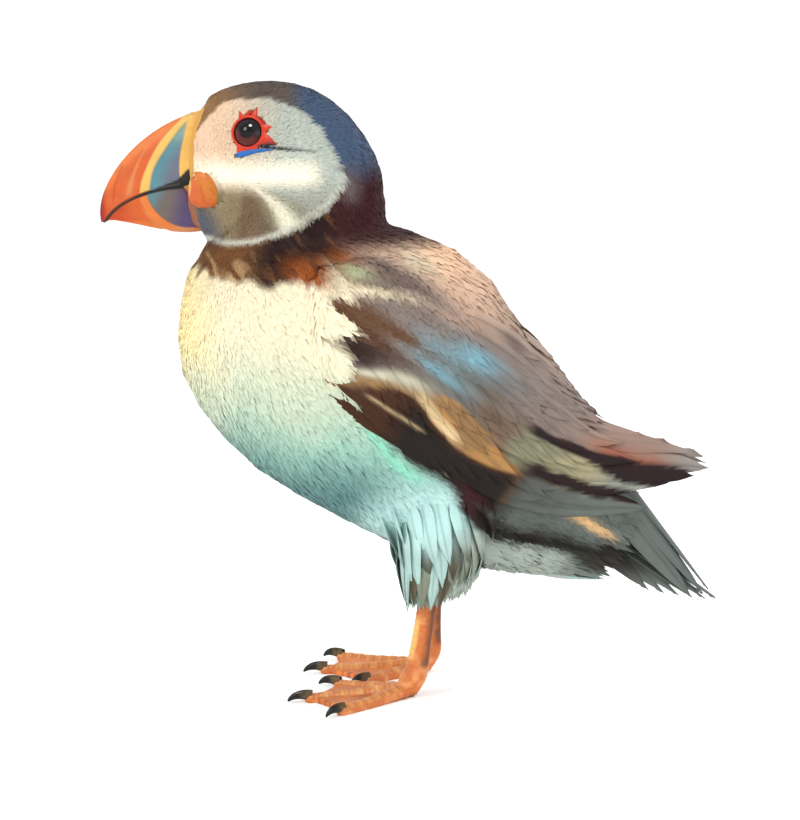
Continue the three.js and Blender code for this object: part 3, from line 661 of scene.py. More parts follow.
FACE_RIM = srgb(206, 206, 192)
CREASE = srgb(44, 38, 46)
HORN_EDGE = srgb(206, 152, 76)
HORN_EDGE_LOW = srgb(150, 96, 70)

# The pale face's edges in the side view, as (y, z): under the cap, and over the collar.
CAP_EDGE = ([-71, -64, -56, -47, -39, -31, -25, -20], [189, 196.6, 200, 200.6, 198.6, 193.2, 185, 175])
COLLAR_EDGE = ([-70, -60, -50, -42, -33, -26, -20], [153.4, 152.6, 153.8, 156.4, 161, 166, 174])
FACE_REAR = -20.0
FAN_CENTRE = (-54.0, 173.5)  # the cheek's lower strokes spread from here
# The collar's lower edge, falling back to the shoulder.
BREAST_EDGE = ([-76, -66, -50, -34, -20], [145.5, 143.5, 141, 141, 140])
VIEW_DROP = 0.15
# Where the pale breast ends against the wing: places along the axis by heights over it.
WING_FRONT = (
    [-24, -21, -17.8, -12.7, -8.8, -6.8, -4.5, -2.2, -0.5, 2, 6, 10, 12.2, 13.5, 16, 21, 27],
    [70, 49, 36.6, 21, 8, -4, -1, 1, -11, -8, -3, -2, -14, -15, -10, -14, -35],
)
# The dark flank's lower edge, and lines drawn along the wing: places along the axis, heights over it.
FLANK_EDGE = (
    [0, 8, 21, 36, 46, 53, 58, 63, 70, 77, 89, 96, 106, 116, 130],
    [2, -8, -13, -17.5, -17, -18, -22, -24, -25.5, -24, -18, -15.6, -16, -13, -8],
)
FLANK_BAND = ([62, 70, 86, 95, 104, 112, 122], [-22, -22.5, -17, -13.6, -10, -6, -3])
PALE_STREAK = ([-6, -3, 8, 16, 26, 38], [-8, -6, -0.5, 3.5, 5.5, 5.8])
GOLD_LOW = ([10, 26, 36, 47, 58, 69], [-2, 0.9, -2.6, -4.9, -4.2, -1])
GOLD_HIGH = ([20, 36, 50, 60, 69], [1, 6.3, 4.8, 1.9, -0.8])
DARK_LINE = ([56, 76, 84, 92, 100, 108, 118], [13.5, 15, 16.8, 17.8, 19.6, 23.2, 27.4])
LOW_LINE = ([62, 84, 92, 100, 110], [0.4, 5.2, 7.6, 10.9, 15])

# Soft round markings, among them a painted blue sheen and a painted highlight: where each lies along the
# axis, its half length, its height over the axis, its half height, and how fast it rises along the axis.
WINE_MARK = (60, 6, -10, 13, 0)
GREY_MARK = (33, 17, 15, 7.5, 0)
SHEEN_MARK = (30, 14, 21, 4.4, 0.1)
LOW_SHEEN_MARK = (33, 11, 10, 3.2, -0.25)
SHOULDER_MARK = (-24, 11, 25, 6, 0)
OLIVE_MARK = (-14, 6, 25, 2.4, 0.3)
NAPE_HIGHLIGHT_MARK = (1, 7, 40, 3.2, 0)


def marked(at, up, mark):
    """How strong a soft round marking is at places along and over the axis."""
    middle, long, height, tall, slope = mark
    return np.exp(-(((at - middle) / long) ** 2) - ((up - height - slope * (at - middle)) / tall) ** 2)


def marked_place(points):
    """Where along and over the axis a marking is laid out: the layout is a side view from a little above."""
    return axis_place(points - np.abs(points[..., :1]) * [0, 0, VIEW_DROP])


def wing_front(points):
    """How far places lie behind the edge between the pale breast and the dark wing."""
    at, up = marked_place(points)
    return at - spline(up, *WING_FRONT)


def face_colour(points):
    y, z = points[:, 1], points[:, 2]
    colour = mix(FACE_FRONT, FACE_BACK, ramp(y, -64, -38))
    colour = mix(colour, FACE_BAND, hump(z - 176, 4.6) * ramp(-y, 26, 34))
    # The lower cheek, greyer and browner: painted shade, crossed by pale strokes that fan out below the eye.
    fan = np.degrees(np.arctan2(FAN_CENTRE[1] - z, y - FAN_CENTRE[0]))
    shade = mix(FACE_LOW, FACE_BROWN, inside(fan, 58, 100, 9))
    shade = mix(shade, FACE_BAND, 0.75 * inside(fan + 1.2 * (z - 160), 36, 50, 6))
    shade = mix(shade, FACE_BACK, 0.6 * fall(fan, 14, 34))
    colour = mix(colour, shade, fall(z + noise(points, 4, 3), 168, 175) * 0.85)
    chin = fall(y + 0.3 * (z - 160), -68, -60) * fall(z, 160, 171)
    colour = mix(colour, FACE_CHIN, chin)
    rim = hump(z - spline(y, *COLLAR_EDGE) - 1.1, 0.9)
    return mix(colour, FACE_RIM, rim * 0.9)


def cap_colour(points):
    y, z = points[:, 1], points[:, 2]
    colour = mix(CAP_FRONT, CAP_TOP, ramp(y, -66, -50))
    colour = mix(colour, CAP_BACK, ramp(y + 0.25 * (z - 200), -41, -33))
    lower = fall(z - 0.25 * y + noise(points * [1, 1, 0.4], 3, 4), 174, 188) * ramp(y, -32, -22)
    colour = mix(colour, NAPE, lower)
    return mix(colour, NAPE_GREY, 0.55 * lower * fall(y, -22, -13) * ramp(z, 164, 172))


def collar_colour(points):
    """The brown collar: lighter strokes in front, dark and rusty towards the shoulder."""
    x, y, z = points.T
    strokes = streaks(1.7, 5, x * 0.3, y + 0.9 * z, (z - 0.9 * y) * 0.2)
    colour = mix(COLLAR, COLLAR_DARK, ramp(y, -58, -44) * ramp(strokes, -1.2, 0.0))
    light = ramp(strokes, 0.1, 0.6) * fall(y, -58, -44) * fall(z, 146, 154)
    colour = mix(colour, COLLAR_LIGHT, 0.7 * light)
    return mix(colour, RUST, ramp(y, -46, -34) * fall(z, 146, 153) * ramp(strokes, -0.8, 0.2))


def underpart_colour(points):
    y, z = points[:, 1], points[:, 2]
    depth = (126 - z) + 0.1 * (y + 60) + 5 * noise(points, 16, 8) + 2.5 * noise(points * [1, 1, 0.5], 5, 9)
    # Painted light and shade: warm cream at the front of the breast, where the light falls, then greener,
    # cooler and darker down the belly as painted shade.
    colour = mix(IVORY, CREAM, fall(y + 0.2 * (z - 120), -76, -56))
    colour = mix(colour, PALE_GREEN, ramp(depth, -6, 26))
    colour = mix(colour, COOL, ramp(depth, 18, 46))
    colour = mix(colour, BELLY_SHADE, ramp(depth - 0.35 * (y + 30), 36, 62) * 0.9)
    colour = mix(colour, IVORY, 0.5 * ramp(wing_front(points), -24, -6) * ramp(z, 106, 120))
    leg = fall(thigh_gap(points, 20, 8, 26), 0.7, 1.2) * fall(z, 72, 90)
    colour = mix(colour, THIGH_PALE, leg * 0.9)
    # Painted shade low on the thigh, streaked along its locks.
    locks = noise(points * [1, 1, 0.14], 2.6, 10)
    hem = leg * (0.25 + 0.55 * ramp(locks, -0.2, 0.3)) * fall(z + 5 * locks, 42, 62)
    colour = mix(colour, HEM_SHADE, hem)
    at, up = marked_place(points)
    # A painted highlight: a light mint streak along the flank, just under its dark edge.
    painted_highlight = hump(up - spline(at, *FLANK_EDGE) + 3.4, 2.0) * inside(at, 18, 42, 5)
    colour = mix(colour, MINT_HIGHLIGHT, 0.8 * painted_highlight)
    rear = mix(UNDERTAIL, TAIL_GREEN, 0.75 * ramp(at + 3 * locks, 94, 106))
    return mix(colour, rear, ramp(at, 58, 72))


def rump_colour(points):
    """The dark flank, dusky with the wing's shadow painted in, and behind it the grey-green rump and tail
    with a dark band and a tan streak.
    """
    at, up = marked_place(points)
    strokes = streaks(2.2, 30, up, at * 0.14, points[..., 0] * 0.4)
    hatch = streaks(1.7, 33, up * 0.25, at, points[..., 0] * 0.3)
    colour = mix(DUSKY, WINE, 0.85 * marked(at, up, WINE_MARK))
    colour = mix(colour, SLATE_GREEN, ramp(at + 4 * strokes, 62, 76))
    colour = mix(colour, DUSKY, 0.75 * ramp(hatch + 0.4 * strokes, 0.0, 0.7) * inside(at, 62, 92, 6))
    below = spline(at, *FLANK_BAND) - up - 1.4 * strokes
    wide = 5.2 - 2 * ramp(at, 84, 110)
    colour = mix(colour, TAIL_BLACK, 0.95 * hump(below, wide) * inside(at, 64, 118, 6))
    colour = mix(colour, TAIL_BLACK * 2, 0.8 * ramp(below, 0, 3) * inside(at, 98, 122, 7))
    colour = mix(colour, TAIL_GREEN, 0.85 * ramp(at + 5 * strokes, 112, 128) * fall(below, -1, 2))
    streak = hump(up + 2.2 + 0.6 * strokes, 1.6) * inside(at, 85, 107, 3)
    return mix(colour, TAIL_CREAM, 0.9 * streak)


def dusky_share(points):
    """The dark flank, rump, wings and back, against the pale underparts. Under the wing the dark flank is
    partly painted shadow.
    """
    at, up = marked_place(points)
    ragged = 3.2 * noise(points * [1, 1, 2], 4.5, 12)
    # The flank under the wing: dusky plumage with painted shadow from the wing.
    flank = ramp(up - spline(at, *FLANK_EDGE) + 0.3 * ragged, -1.5, 2.5) * ramp(at, 8, 16)
    strokes = 1.2 * streaks(1.8, 13, up, at * 0.15, points[:, 0] * 0.3)
    wing = ramp(wing_front(points) + strokes, -1.5, 1.5) * ramp(up - spline(at, *FLANK_EDGE), -2, 2)
    return np.maximum(flank, wing)


def mantle_colour(at, up, strokes, cloudy):
    """Pink over mauve, the pink growing towards the top as painted light, with a painted highlight near the
    neck; greyer low on the side, with a painted blue sheen.
    """
    # Painted light: pink grows towards the top of the back, where the light falls.
    pink = ramp(up + 4 * strokes + 4 * cloudy, 28, 42) * (1 - 0.6 * ramp(at, 22, 44))
    # A painted highlight at the top of the mantle, near the neck.
    light = 0.85 * hump(at - 8, 15) * ramp(up + 3 * strokes, 37, 45)
    colour = mix(mix(MAUVE, PINK, pink), PINK_HIGHLIGHT, light)
    colour = mix(colour, MAUVE_DARK, 0.7 * ramp(-strokes - 0.5 * cloudy, 0.1, 0.8) * (1 - 0.6 * pink))
    colour = mix(colour, GREY_BLUE, 0.85 * marked(at, up, GREY_MARK))
    # A painted blue sheen on the side of the wing.
    sheen = marked(at, up, SHEEN_MARK) + 0.6 * marked(at, up, LOW_SHEEN_MARK)
    return mix(colour, SHEEN, np.clip(sheen * (1.1 + 1.4 * strokes), 0, 0.92))


def forewing_colour(colour, at, up, strokes, fine):
    """colour, with the wing's dark front, the rusty shoulder, and cream streaks over and under them that are
    painted highlights.
    """
    dark = fall(at - 0.4 * (up - 8) + 5 * strokes, 5, 17) * fall(up + 2.5 * strokes, 14, 20)
    colour = mix(colour, mix(FOREWING, FOREWING_BROWN, ramp(up + 3 * fine, 5, 14)), 0.95 * dark)
    rust = mix(RUST, FOREWING, ramp(-strokes, 0.1, 0.7))
    colour = mix(colour, rust, np.clip(1.3 * marked(at, up, SHOULDER_MARK), 0, 1))
    colour = mix(colour, SHOULDER_OLIVE, np.clip(1.1 * marked(at, up, OLIVE_MARK), 0, 1))
    # Painted highlights: a cream streak over the dark front, and a cream spot on the mantle near the nape.
    tongue = hump(up - 22.2 - 0.45 * (at + 6), 1.7) * inside(at, -20, 10, 6)
    cream = tongue * (1 - 0.5 * ramp(at, -6, 4)) + 0.6 * marked(at, up, NAPE_HIGHLIGHT_MARK)
    return mix(colour, CREAM_HIGHLIGHT, np.clip(cream, 0, 1))


def low_wing_colour(colour, at, up, strokes):
    """colour, with a pale streak and cream as painted highlights, brown and gold along the wing's lower edge,
    and black beneath, partly painted shadow.
    """
    line = spline(at, *PALE_STREAK)
    depth = line - up + 0.8 * strokes
    brown = mix(WING_TAN, WING_DEEP, ramp(depth, 3, 7))
    colour = mix(colour, brown, ramp(depth, 0.5, 2) * fall(at, 28, 42))
    # A painted highlight: the pale streak along the line.
    streak = hump(up - line + 0.6 * strokes, 1.1 + 0.05 * np.clip(at, 0, 30))
    colour = mix(colour, PALE_HIGHLIGHT, np.clip(streak * (0.85 + 0.5 * strokes), 0, 0.9) * fall(at, 18, 36))
    low, high = spline(at, *GOLD_LOW), spline(at, *GOLD_HIGH)
    gold = ramp(high - up + 1.4 * strokes, -0.9, 0.9) * ramp(at, 26, 36) * fall(at, 66, 71)
    colour = mix(colour, mix(WING_TAN, WING_GOLD, ramp(strokes + 0.1 * (low + 3 - up), -0.4, 0.4)), gold)
    # A painted highlight: cream along the gold's lower edge.
    cream = inside(up - low, 0, 3.5, 1) * inside(at, 27, 45, 4)
    colour = mix(colour, WING_CREAM, 0.85 * cream)
    # Black beneath the wing's lower edge: dark feathers with painted shadow under the wing.
    under = ramp(low - up, -0.4, 0.8) * ramp(at, 12, 22) * fall(at, 66, 74)
    colour = mix(colour, mix(WING_DEEP, WING_BLACK, ramp(low - up, 0.2, 2.5) * ramp(at, 18, 32)), under)
    thin = hump(up + 6.5, 0.6) * inside(at, 12, 33, 3)
    colour = mix(colour, WING_CREAM, 0.5 * thin)
    gap = inside(at + 0.15 * (up + 12), 47, 55, 1.5) * ramp(-up + 2 * strokes, 12.5, 14.5)
    return mix(colour, FLANK_GREEN, 0.85 * gap)


def flight_colour(at, up, strokes):
    """The rear of the wing: mauve, then rust, over a dark line, with olive and a second dark line below."""
    over = up + 0.7 * strokes - spline(at, *DARK_LINE)
    rust = hump(over - 3.8, 2.6) * ramp(at, 78, 94)
    top = mix(mix(MAUVE, WING_PINK, ramp(at, 70, 90)), WING_RUST, 0.9 * rust)
    top = mix(top, WING_GREY, ramp(at + 3 * strokes, 101, 115))
    olive = mix(WING_OLIVE, WING_SAND, ramp(strokes + 0.1 * (at - 76), -0.5, 0.5))
    olive = mix(olive, WING_STONE, ramp(at + 3 * strokes, 86, 98))
    colour = mix(olive, top, ramp(over, -0.5, 1))
    half = 1.7 + 2.7 * ramp(at, 80, 100)
    colour = mix(colour, WING_MAROON, ramp(half - np.abs(over), -0.6, 0.6) * ramp(at, 56, 66))
    lower = up + 0.5 * strokes - spline(at, *LOW_LINE)
    below = mix(SLATE_GREEN, DUSKY, 0.4 * fall(at + 6 * strokes, 76, 96))
    colour = mix(colour, below, fall(lower, -3, -1.6))
    return mix(colour, WING_MAROON, ramp(2.3 - np.abs(lower), -0.5, 0.5) * ramp(at, 62, 72))


def upper_colour(points):
    """The mantle and the folded wing."""
    at, up = marked_place(points)
    strokes = streaks(3.2, 31, up, at * 0.16, points[..., 0] * 0.5)
    fine = streaks(1.4, 34, up, at * 0.12, points[..., 0] * 0.5)
    cloudy = noise(points * [1, 0.5, 1], 13, 32)
    colour = mantle_colour(at, up, strokes, cloudy)
    brown = fall(up + 3 * strokes, 12, 18) * inside(at, 44, 66, 5)
    colour = mix(colour, WING_BROWN, 0.8 * brown)
    colour = forewing_colour(colour, at, up, strokes, fine)
    rear = ramp(at - 0.25 * (up - 14) + 2 * strokes, 58, 66) * (1 - ramp(up, 26, 34) * fall(at, 76, 88))
    colour = mix(colour, flight_colour(at, up, fine), rear)
    low = ramp(spline(at, *GOLD_HIGH) + 3 - up, 0, 2) + fall(at, 30, 40)
    return mix(colour, low_wing_colour(colour, at, up, fine), np.clip(low, 0, 1) * fall(up, 8, 12))


def plumage_colour(points):
    """The bird's markings at places on its body, for the skin and the small feathers alike."""
    y, z = points[:, 1], points[:, 2]
    at, up = axis_place(points)
    ragged = 1.1 * noise(points, 2.2, 21)
    upper = ramp(up, -1, 3) * fall(at + 0.3 * (up - 20), 62, 84)
    dark = mix(rump_colour(points), upper_colour(points), upper)
    colour = mix(underpart_colour(points), dark, dusky_share(points))
    collar = ramp(z - spline(y, *BREAST_EDGE) + 2.2 * noise(points * [1, 1, 0.4], 3.2, 22), -1.5, 1.5)
    colour = mix(colour, collar_colour(points), collar * (1 - ramp(y, -30, -18) * fall(z, 150, 158)))
    nape = ramp(z, 150, 157) * ramp(y, -30, -20)
    colour = mix(colour, NAPE, nape)
    above = ramp(z - spline(y, *COLLAR_EDGE) + 0.5 * ragged, -0.6, 0.6)
    below_cap = ramp(spline(y, *CAP_EDGE) - z + ragged, -0.7, 0.7)
    fade = 3.5 * streaks(2.0, 23, 0 * y, y * 0.2, z)
    on_face = above * below_cap * fall(y + ragged + fade, FACE_REAR - 3, FACE_REAR + 3)
    over = ramp(z, 176, 180) * (1 - below_cap) + ramp(y, -24, -18) * ramp(z, 158, 164)
    colour = mix(colour, cap_colour(points), np.clip(over, 0, 1))
    colour = mix(colour, face_colour(points), on_face)
    for side, _ in SIDES:
        u, v, height = beside_eye(points, side)
        far, along = crease_distance(u, v)
        line = hump(far, 0.62 - 0.3 * along) * (height > -12)
        colour = mix(colour, CREASE, np.clip(line * 1.5, 0, 1) * (1 - 0.5 * along**2))
    return colour


# ---------------------------------------------------------------- small feathers

PATCH = 0.003  # the width of one feather's patch on the bake's map
BILL_EDGE = ([153, 158, 166, 177, 187, 197], [-69.0, -70.2, -71.9, -72.1, -71.3, -68.4])
# The wing's lower edge and the top of its big coverts, as heights along the trunk's axis, and its upper
# edge seen from above.
WING_LOW = ([-27, -20, -8, 8, 27, 47, 71, 97], [17, 8, -1, -6, -9, -7.5, 0, 10])
COVERT_TOP = ([0, 10, 24, 40, 56], [-8, 0, 9, 14, 20])
WING_INSIDE = ([40, 60, 97], [11, 8, 3])
VANES_FROM, VANES_ONLY = 14.0, 54.0
ROSETTE_HALF = (5.6, 6.9)
ROSETTE_SHIFT = np.array([0, 1.1, 0.5])
ROSETTE_LEAN = 0.42
RING_BARE = 5.7  # radius of the eye's bare ring, without its points


def under_wing_feathers(points):
    """Places that the wing's own big feathers cover."""
    at, up = axis_place(points)
    above_edge = up > spline(at, *WING_LOW) + 4
    side = (up < spline(at, *COVERT_TOP)) & (at > VANES_FROM) & (np.abs(points[:, 0]) > 12)
    behind = (at > VANES_ONLY) & (np.abs(points[:, 0]) > spline(at, *WING_INSIDE) + 2)
    return (above_edge & (side | behind)) | (at > REAR_FREE - 3)


def rosette_place(side):
    found = cad_points(f"rosette_{side}")
    return (found.min(0) + found.max(0)) / 2 + ROSETTE_SHIFT


def rosette_share(points, side):
    """How far places lie from the gape's middle, in side view, as a share of its half sizes."""
    local = points - rosette_place(side)
    across = local[..., 1] * math.cos(ROSETTE_LEAN) + local[..., 2] * math.sin(ROSETTE_LEAN)
    along = local[..., 2] * math.cos(ROSETTE_LEAN) - local[..., 1] * math.sin(ROSETTE_LEAN)
    return np.hypot(across / (ROSETTE_HALF[0] * (1 - 0.018 * along)), along / ROSETTE_HALF[1])


def under_bill(points, back=0.3):
    """Places that lie within the bill's own horn, in front of the face's edge."""
    return (points[:, 1] < spline(points[:, 2], *BILL_EDGE) + back) & (points[:, 2] > BILL_EDGE[0][0] - 1)


def bare(points, reach=0.0):
    """Places with no feathers: the bill, the gape, and the eye with its ring and plates."""
    found = under_bill(points)
    for side, sign in SIDES:
        u, v, height = beside_eye(points, side)
        near = height > -14
        found |= near & (np.hypot(u, v) < RING_BARE - reach)
        under = np.abs(v + 6.9 - 0.13 * u) < 1.1 - 0.06 * (u + 4) - reach
        found |= near & under & (np.abs(u - 2) < 6.6)
        found |= near & (np.abs(u - 0.1) < 1.3 - reach) & (v > 5) & (v < 7.6 - reach)
        beside = (points - rosette_place(side))[:, 0] * sign > -6
        found |= beside & (rosette_share(points, side) < 0.9)
    return found


def scattered(surface, spacing):
    """Evenly spread places on a surface. spacing(points) gives the gap to keep between them."""
    corners = surface.points[surface.quads]
    centres = corners.mean(1)
    gaps = spacing(centres)
    areas = np.linalg.norm(face_normals(surface.points, surface.quads), axis=1)
    count = rng.poisson(np.where(gaps > 0, 7.0 * areas / np.maximum(gaps, 0.1) ** 2, 0))
    face = np.repeat(np.arange(len(count)), count)
    s, t = rng.random((2, len(face), 1))
    a, b, c, d = (corners[face, i] for i in range(4))
    places = (a * (1 - s) + b * s) * (1 - t) + (d * (1 - s) + c * s) * t
    step = np.exp2(np.round(np.log2(gaps[face]) * 4) / 4)[:, None]
    cells = np.floor(places / step)
    off = np.linalg.norm(places / step - cells - 0.5, axis=1)
    order = np.argsort(off)
    keys = np.concatenate([np.round(step * 1000), cells], 1)[order]
    chosen = order[np.unique(keys, axis=0, return_index=True)[1]]
    return places[chosen[off[chosen] < 0.62]]


def feather_lines(surface, roots, lengths, rows, stray=0.12):
    """Each feather's middle line over the surface, with its normals and its ways along."""
    place, normal = surface.nearest(roots)
    turn = rng.normal(0, stray, (len(roots), 1))
    lines, normals, ways = [], [], []
    for row in range(rows):
        way = flow(place, normal)
        way = unit(way + turn * np.cross(normal, way))
        lines.append(place)
        normals.append(normal)
        ways.append(way)
        if row + 1 < rows:
            ahead = place + way * (lengths / (rows - 1))[:, None]
            snapped, turned = surface.nearest(ahead)
            free = flies_free(ahead)[:, None]
            place = np.where(free, ahead, snapped)
            normal = np.where(free, normal, turned)
    normals, ways = np.stack(normals, 1), np.stack(ways, 1)
    normals = unit(normals - ways * (normals * ways).sum(2, keepdims=True))
    return np.stack(lines, 1), normals, ways


def round_unwrap(points):
    """Where places lie on the skin's own shape laid flat: round the body, and along it."""
    at, up = axis_place(points)
    head = points[:, 2] > 150 + 0.25 * (points[:, 1] + 40)
    round_head = np.arctan2(points[:, 0], points[:, 2] - 178)
    round_body = np.arctan2(points[:, 0], up)
    turn = np.where(head, round_head, round_body) / (2 * math.pi) + 0.5
    along = np.where(head, (points[:, 1] + 80) / 90, (at + 70) / 210)
    return np.stack([0.02 + 0.95 * turn, 0.02 + 0.95 * np.clip(along, 0, 1)], 1)


# A small feather's rows from its root to its tip, its points across, and how deep its root lies as a
# share of the coat's depth.
ROWS_FINE = np.array([0, 0.36, 0.7, 1.0])
ROWS_BODY = np.array([0, 0.28, 0.55, 0.8, 1.0])
SMALL_ACROSS = np.linspace(-1, 1, 3)
ROOT_DEEP = 0.85


def small_vanes(lines, normals, ways, size, rows, pointed, lift):
    """Points of small feathers along lines, by feather, row and column. size: length, width, depth."""
    length, width, deep = size
    count, c = len(lines), SMALL_ACROSS
    body = 0.45 + 0.55 * ramp(rows, 0, 0.4)
    tip = np.sqrt(np.maximum(1 - np.clip((rows - 0.45) / 0.55, 0, 1) ** 2 * (0.75 + 0.24 * pointed), 0))
    across = width / 2 * (body * tip)[None, :, None] * c
    roll = rng.normal(0, 0.06, (count, 1, 1))
    along = rows[None, :, None]
    height = -ROOT_DEEP * deep * (1 - along) ** 2
    height = height + lift * deep * rng.uniform(0, 1, (count, 1, 1)) * along**2
    height = height - 0.16 * np.abs(across) * np.abs(c) + roll * across
    ragged = rng.uniform(-0.07, 0.07, (count, 1, len(c))) - 0.16 * pointed * np.abs(c)
    pull = length * ragged * ramp(rows, 0.5, 1)[None, :, None]
    sides = np.cross(normals, ways)
    grid = lines[:, :, None] + sides[:, :, None] * across[..., None]
    return grid + normals[:, :, None] * height[..., None] + ways[:, :, None] * pull[..., None]


def small_tints(lines, rows):
    """Small feathers' colours by feather, row and column: the body's markings, darker at the roots."""
    spot = plumage_colour(lines[:, -2])
    end = mix(spot, plumage_colour(lines[:, -1]), 0.6)
    shade = rng.normal(1, 0.035, (len(lines), 1))
    own = np.repeat((spot * shade)[:, None], len(rows), 1)
    own[:, -1] = end * shade
    depthwise = (0.88 + 0.13 * rows)[:, None] * (1 + 0.02 * np.abs(SMALL_ACROSS))
    return own[:, :, None] * depthwise[..., None]


def small_feathers(name, surface, roots, rows, pointed, lift):
    """Overlapping vanes with their roots at places on a surface, as one piece of the coat."""
    length, width, depth = body_size(roots)
    length = length * rng.uniform(0.85, 1.15, len(roots))
    width = width * rng.uniform(0.85, 1.15, len(roots))
    lines, normals, ways = feather_lines(surface, roots, length, len(rows))
    free = ~bare(lines[:, -1], 0.2)
    lines, normals, ways, roots = (v[free] for v in (lines, normals, ways, roots))
    size = [v[free][:, None, None] for v in (length, width, depth)]
    grid = small_vanes(lines, normals, ways, size, rows, pointed, lift)
    quads = many_strips(*grid.shape[:3])
    patch = np.stack(np.broadcast_arrays((SMALL_ACROSS + 1) / 2, rows[:, None]), -1) * PATCH
    bake = (round_unwrap(roots)[:, None, None] + patch).reshape(-1, 2)[quads]
    new_object(name, grid, quads, PLUMAGE, small_tints(lines, rows), maps={BAKE_MAP: bake})


# Distances from the bill's base at which the head's finest feathers and the neck's end, the place on the
# trunk's axis where the rump's begin, and the height over the floor below which none grow.
HEAD_END, NECK_END, REAR_FROM, LOWEST_ROOTS = 36.0, 66.0, 66.0, 42.0


def thigh_share(points):
    """1 on the thighs, and 0 on the rest of the body."""
    return fall(thigh_gap(points, 17, 11, 24), 0.85, 1.1) * fall(points[:, 2], 54, 66)


def body_size(points):
    """Length, width and depth of the small feathers that grow at places on the body."""
    far = bill_distance(points)
    length = spline(far, BODY_SPAN, [1.7, 2.5, 4.4, 7.0, 9.5, 11.0])
    width = spline(far, BODY_SPAN, [0.62, 0.82, 1.2, 1.7, 2.2, 2.6])
    at, up = axis_place(points)
    back = ramp(up, 2, 14) * ramp(at, -26, -6) * fall(at, 80, 100)
    length = length * (1 + 0.3 * back)
    width = width * (1 + 0.75 * back)
    edge = hump(wing_front(points), 9) * ramp(up, -16, -8) * fall(up, 30, 40)
    length = length * (1 + 0.7 * edge)
    width = width * (1 + 0.5 * edge)
    tail = ramp(at, 76, 100)
    length = length * (1 + 0.35 * tail)
    width = width * (1 + 0.35 * tail)
    behind, ahead = np.clip(points[:, 1] + 5, 0, 40), np.clip(-1 - points[:, 1], 0, 20)
    hem = points[:, 2] - (30 + 0.22 * behind + 1.8 * ahead)
    thigh = thigh_share(points)
    length = length + (np.clip(hem, 6, 17) - length) * thigh
    width = width * (1 + 0.7 * thigh)
    for side, _ in SIDES:
        centre, _ = eye_place(side)
        near = fall(np.linalg.norm(points - centre, axis=1), 9, 17)
        length = length * (1 - 0.35 * near)
        width = width * (1 - 0.15 * near)
    return length, width, coat_depth(points)


def feather_gap(points):
    """The gap between neighbouring feathers' roots, or 0 where there are none."""
    gap = spline(bill_distance(points), BODY_SPAN, [0.38, 0.46, 0.64, 0.86, 1.08, 1.2])
    at, up = axis_place(points)
    gap = gap * (1 + 0.35 * ramp(up, 2, 14) * ramp(at, -26, -6))
    return np.where(bare(points) | under_wing_feathers(points) | (points[:, 2] < LOWEST_ROOTS), 0, gap)


def make_coat(surface):
    """All the small feathers, in pieces of which each is well under 200,000 triangles."""
    roots = scattered(surface, feather_gap)
    _, out = surface.nearest(roots)
    roots = roots[np.abs((flow(roots, out) * out).sum(1)) < 0.8]
    far, at = bill_distance(roots), axis_place(roots)[0]
    leg = thigh_share(roots) > 0.3
    head = far < HEAD_END
    neck = ~head & (far < NECK_END)
    rear = ~head & ~neck & ~leg & (at > REAR_FROM)
    trunk = ~head & ~neck & ~leg & ~rear
    left = roots[:, 0] > 0
    halves = (("_left", left), ("_right", ~left))
    for name, chosen, sides, rows, pointed, lift, slot in (
        ("head", head, halves, ROWS_FINE, 0.4, 0.12, "plumage_pale"),
        ("neck", neck, halves, ROWS_FINE, 0.6, 0.14, "plumage_dark"),
        ("trunk", trunk, halves, ROWS_BODY, 0.6, 0.16, "plumage_pale"),
        ("rear", rear, (("", True),), ROWS_BODY, 0.8, 0.12, "plumage_dark"),
        ("thigh", leg, halves, ROWS_BODY, 0.95, 0.3, "plumage_pale"),
    ):
        for half, there in sides:
            small_feathers(f"coat_{name}{half}", surface, roots[chosen & there], rows, pointed, lift)


# The skin ends at this height over the floor and at this place along the axis, and is darker than the coat.
SKIN_HEM, SKIN_REAR, SKIN_SHADE = 45.0, 104.0, 0.72


def make_skin(points, quads, normals):
    """The one skin under all the feathers, inside the plumage by the coat's depth."""
    sunk = points - normals * coat_depth(points)[:, None]
    sunk[:, 2] = np.maximum(sunk[:, 2], SKIN_HEM)
    behind = np.maximum(axis_place(sunk)[0] - SKIN_REAR, 0)
    sunk = sunk - AXIS_BACK * behind[:, None]
    in_horn = under_bill(points, -3.0)
    kept = quads[~in_horn[quads].all(1)]
    tint = plumage_colour(points) * SKIN_SHADE
    at_horn = 1.0 * under_bill(points, 0.2)
    tint = mix(tint, mix(HORN_EDGE_LOW, HORN_EDGE, ramp(points[:, 2], 169, 173)), at_horn)
    new_object("skin", sunk, kept, SKIN, tint, FLESH)


PLUMAGE = plumage_material()
FLIGHT = flight_material()
SKIN = skin_material()

form_points, form_quads = body_form()
for side_name, _ in SIDES:
    form_points = shaped_face(form_points, side_name)
form_surface = Surface(form_points, form_quads)
make_skin(form_points, form_quads, form_surface.normals)
make_coat(form_surface)


# ---------------------------------------------------------------- bill

# In the side plane as (y, z): Bezier curves from inside the face to the tip, as in the CAD part.
CULMEN = [(-66, 196.4), (-85.4, 195.2), (-106.6, 173.4), (-103.1, 158.6)]
MOUTH = [(-66, 172.4), (-78, 172), (-96.8, 169), (-102.1, 158.5)]
GONYS = [(-66, 157.2), (-78, 153.6), (-86, 158.2), (-101, 160)]
BILL_ROWS, BILL_COLUMNS = 120, 140
BILL_MIDDLE = np.array([0, -80, 172])
# Half widths at the face and the tip, how much narrower the bill is at its ridge, how far along its curves
# it runs, and the share of its outline that lies flat on the mouth line.
BILL_HALF, BILL_TIP_HALF, BILL_WEDGE, BILL_LAST, BILL_FLAT = 8.0, 1.2, 0.62, 0.985, 0.125
CERE_CENTRE = np.array([-44.2, 177.8])
CERE_RADIUS = 32.1
CERE_RAISED = 0.45  # over the horn
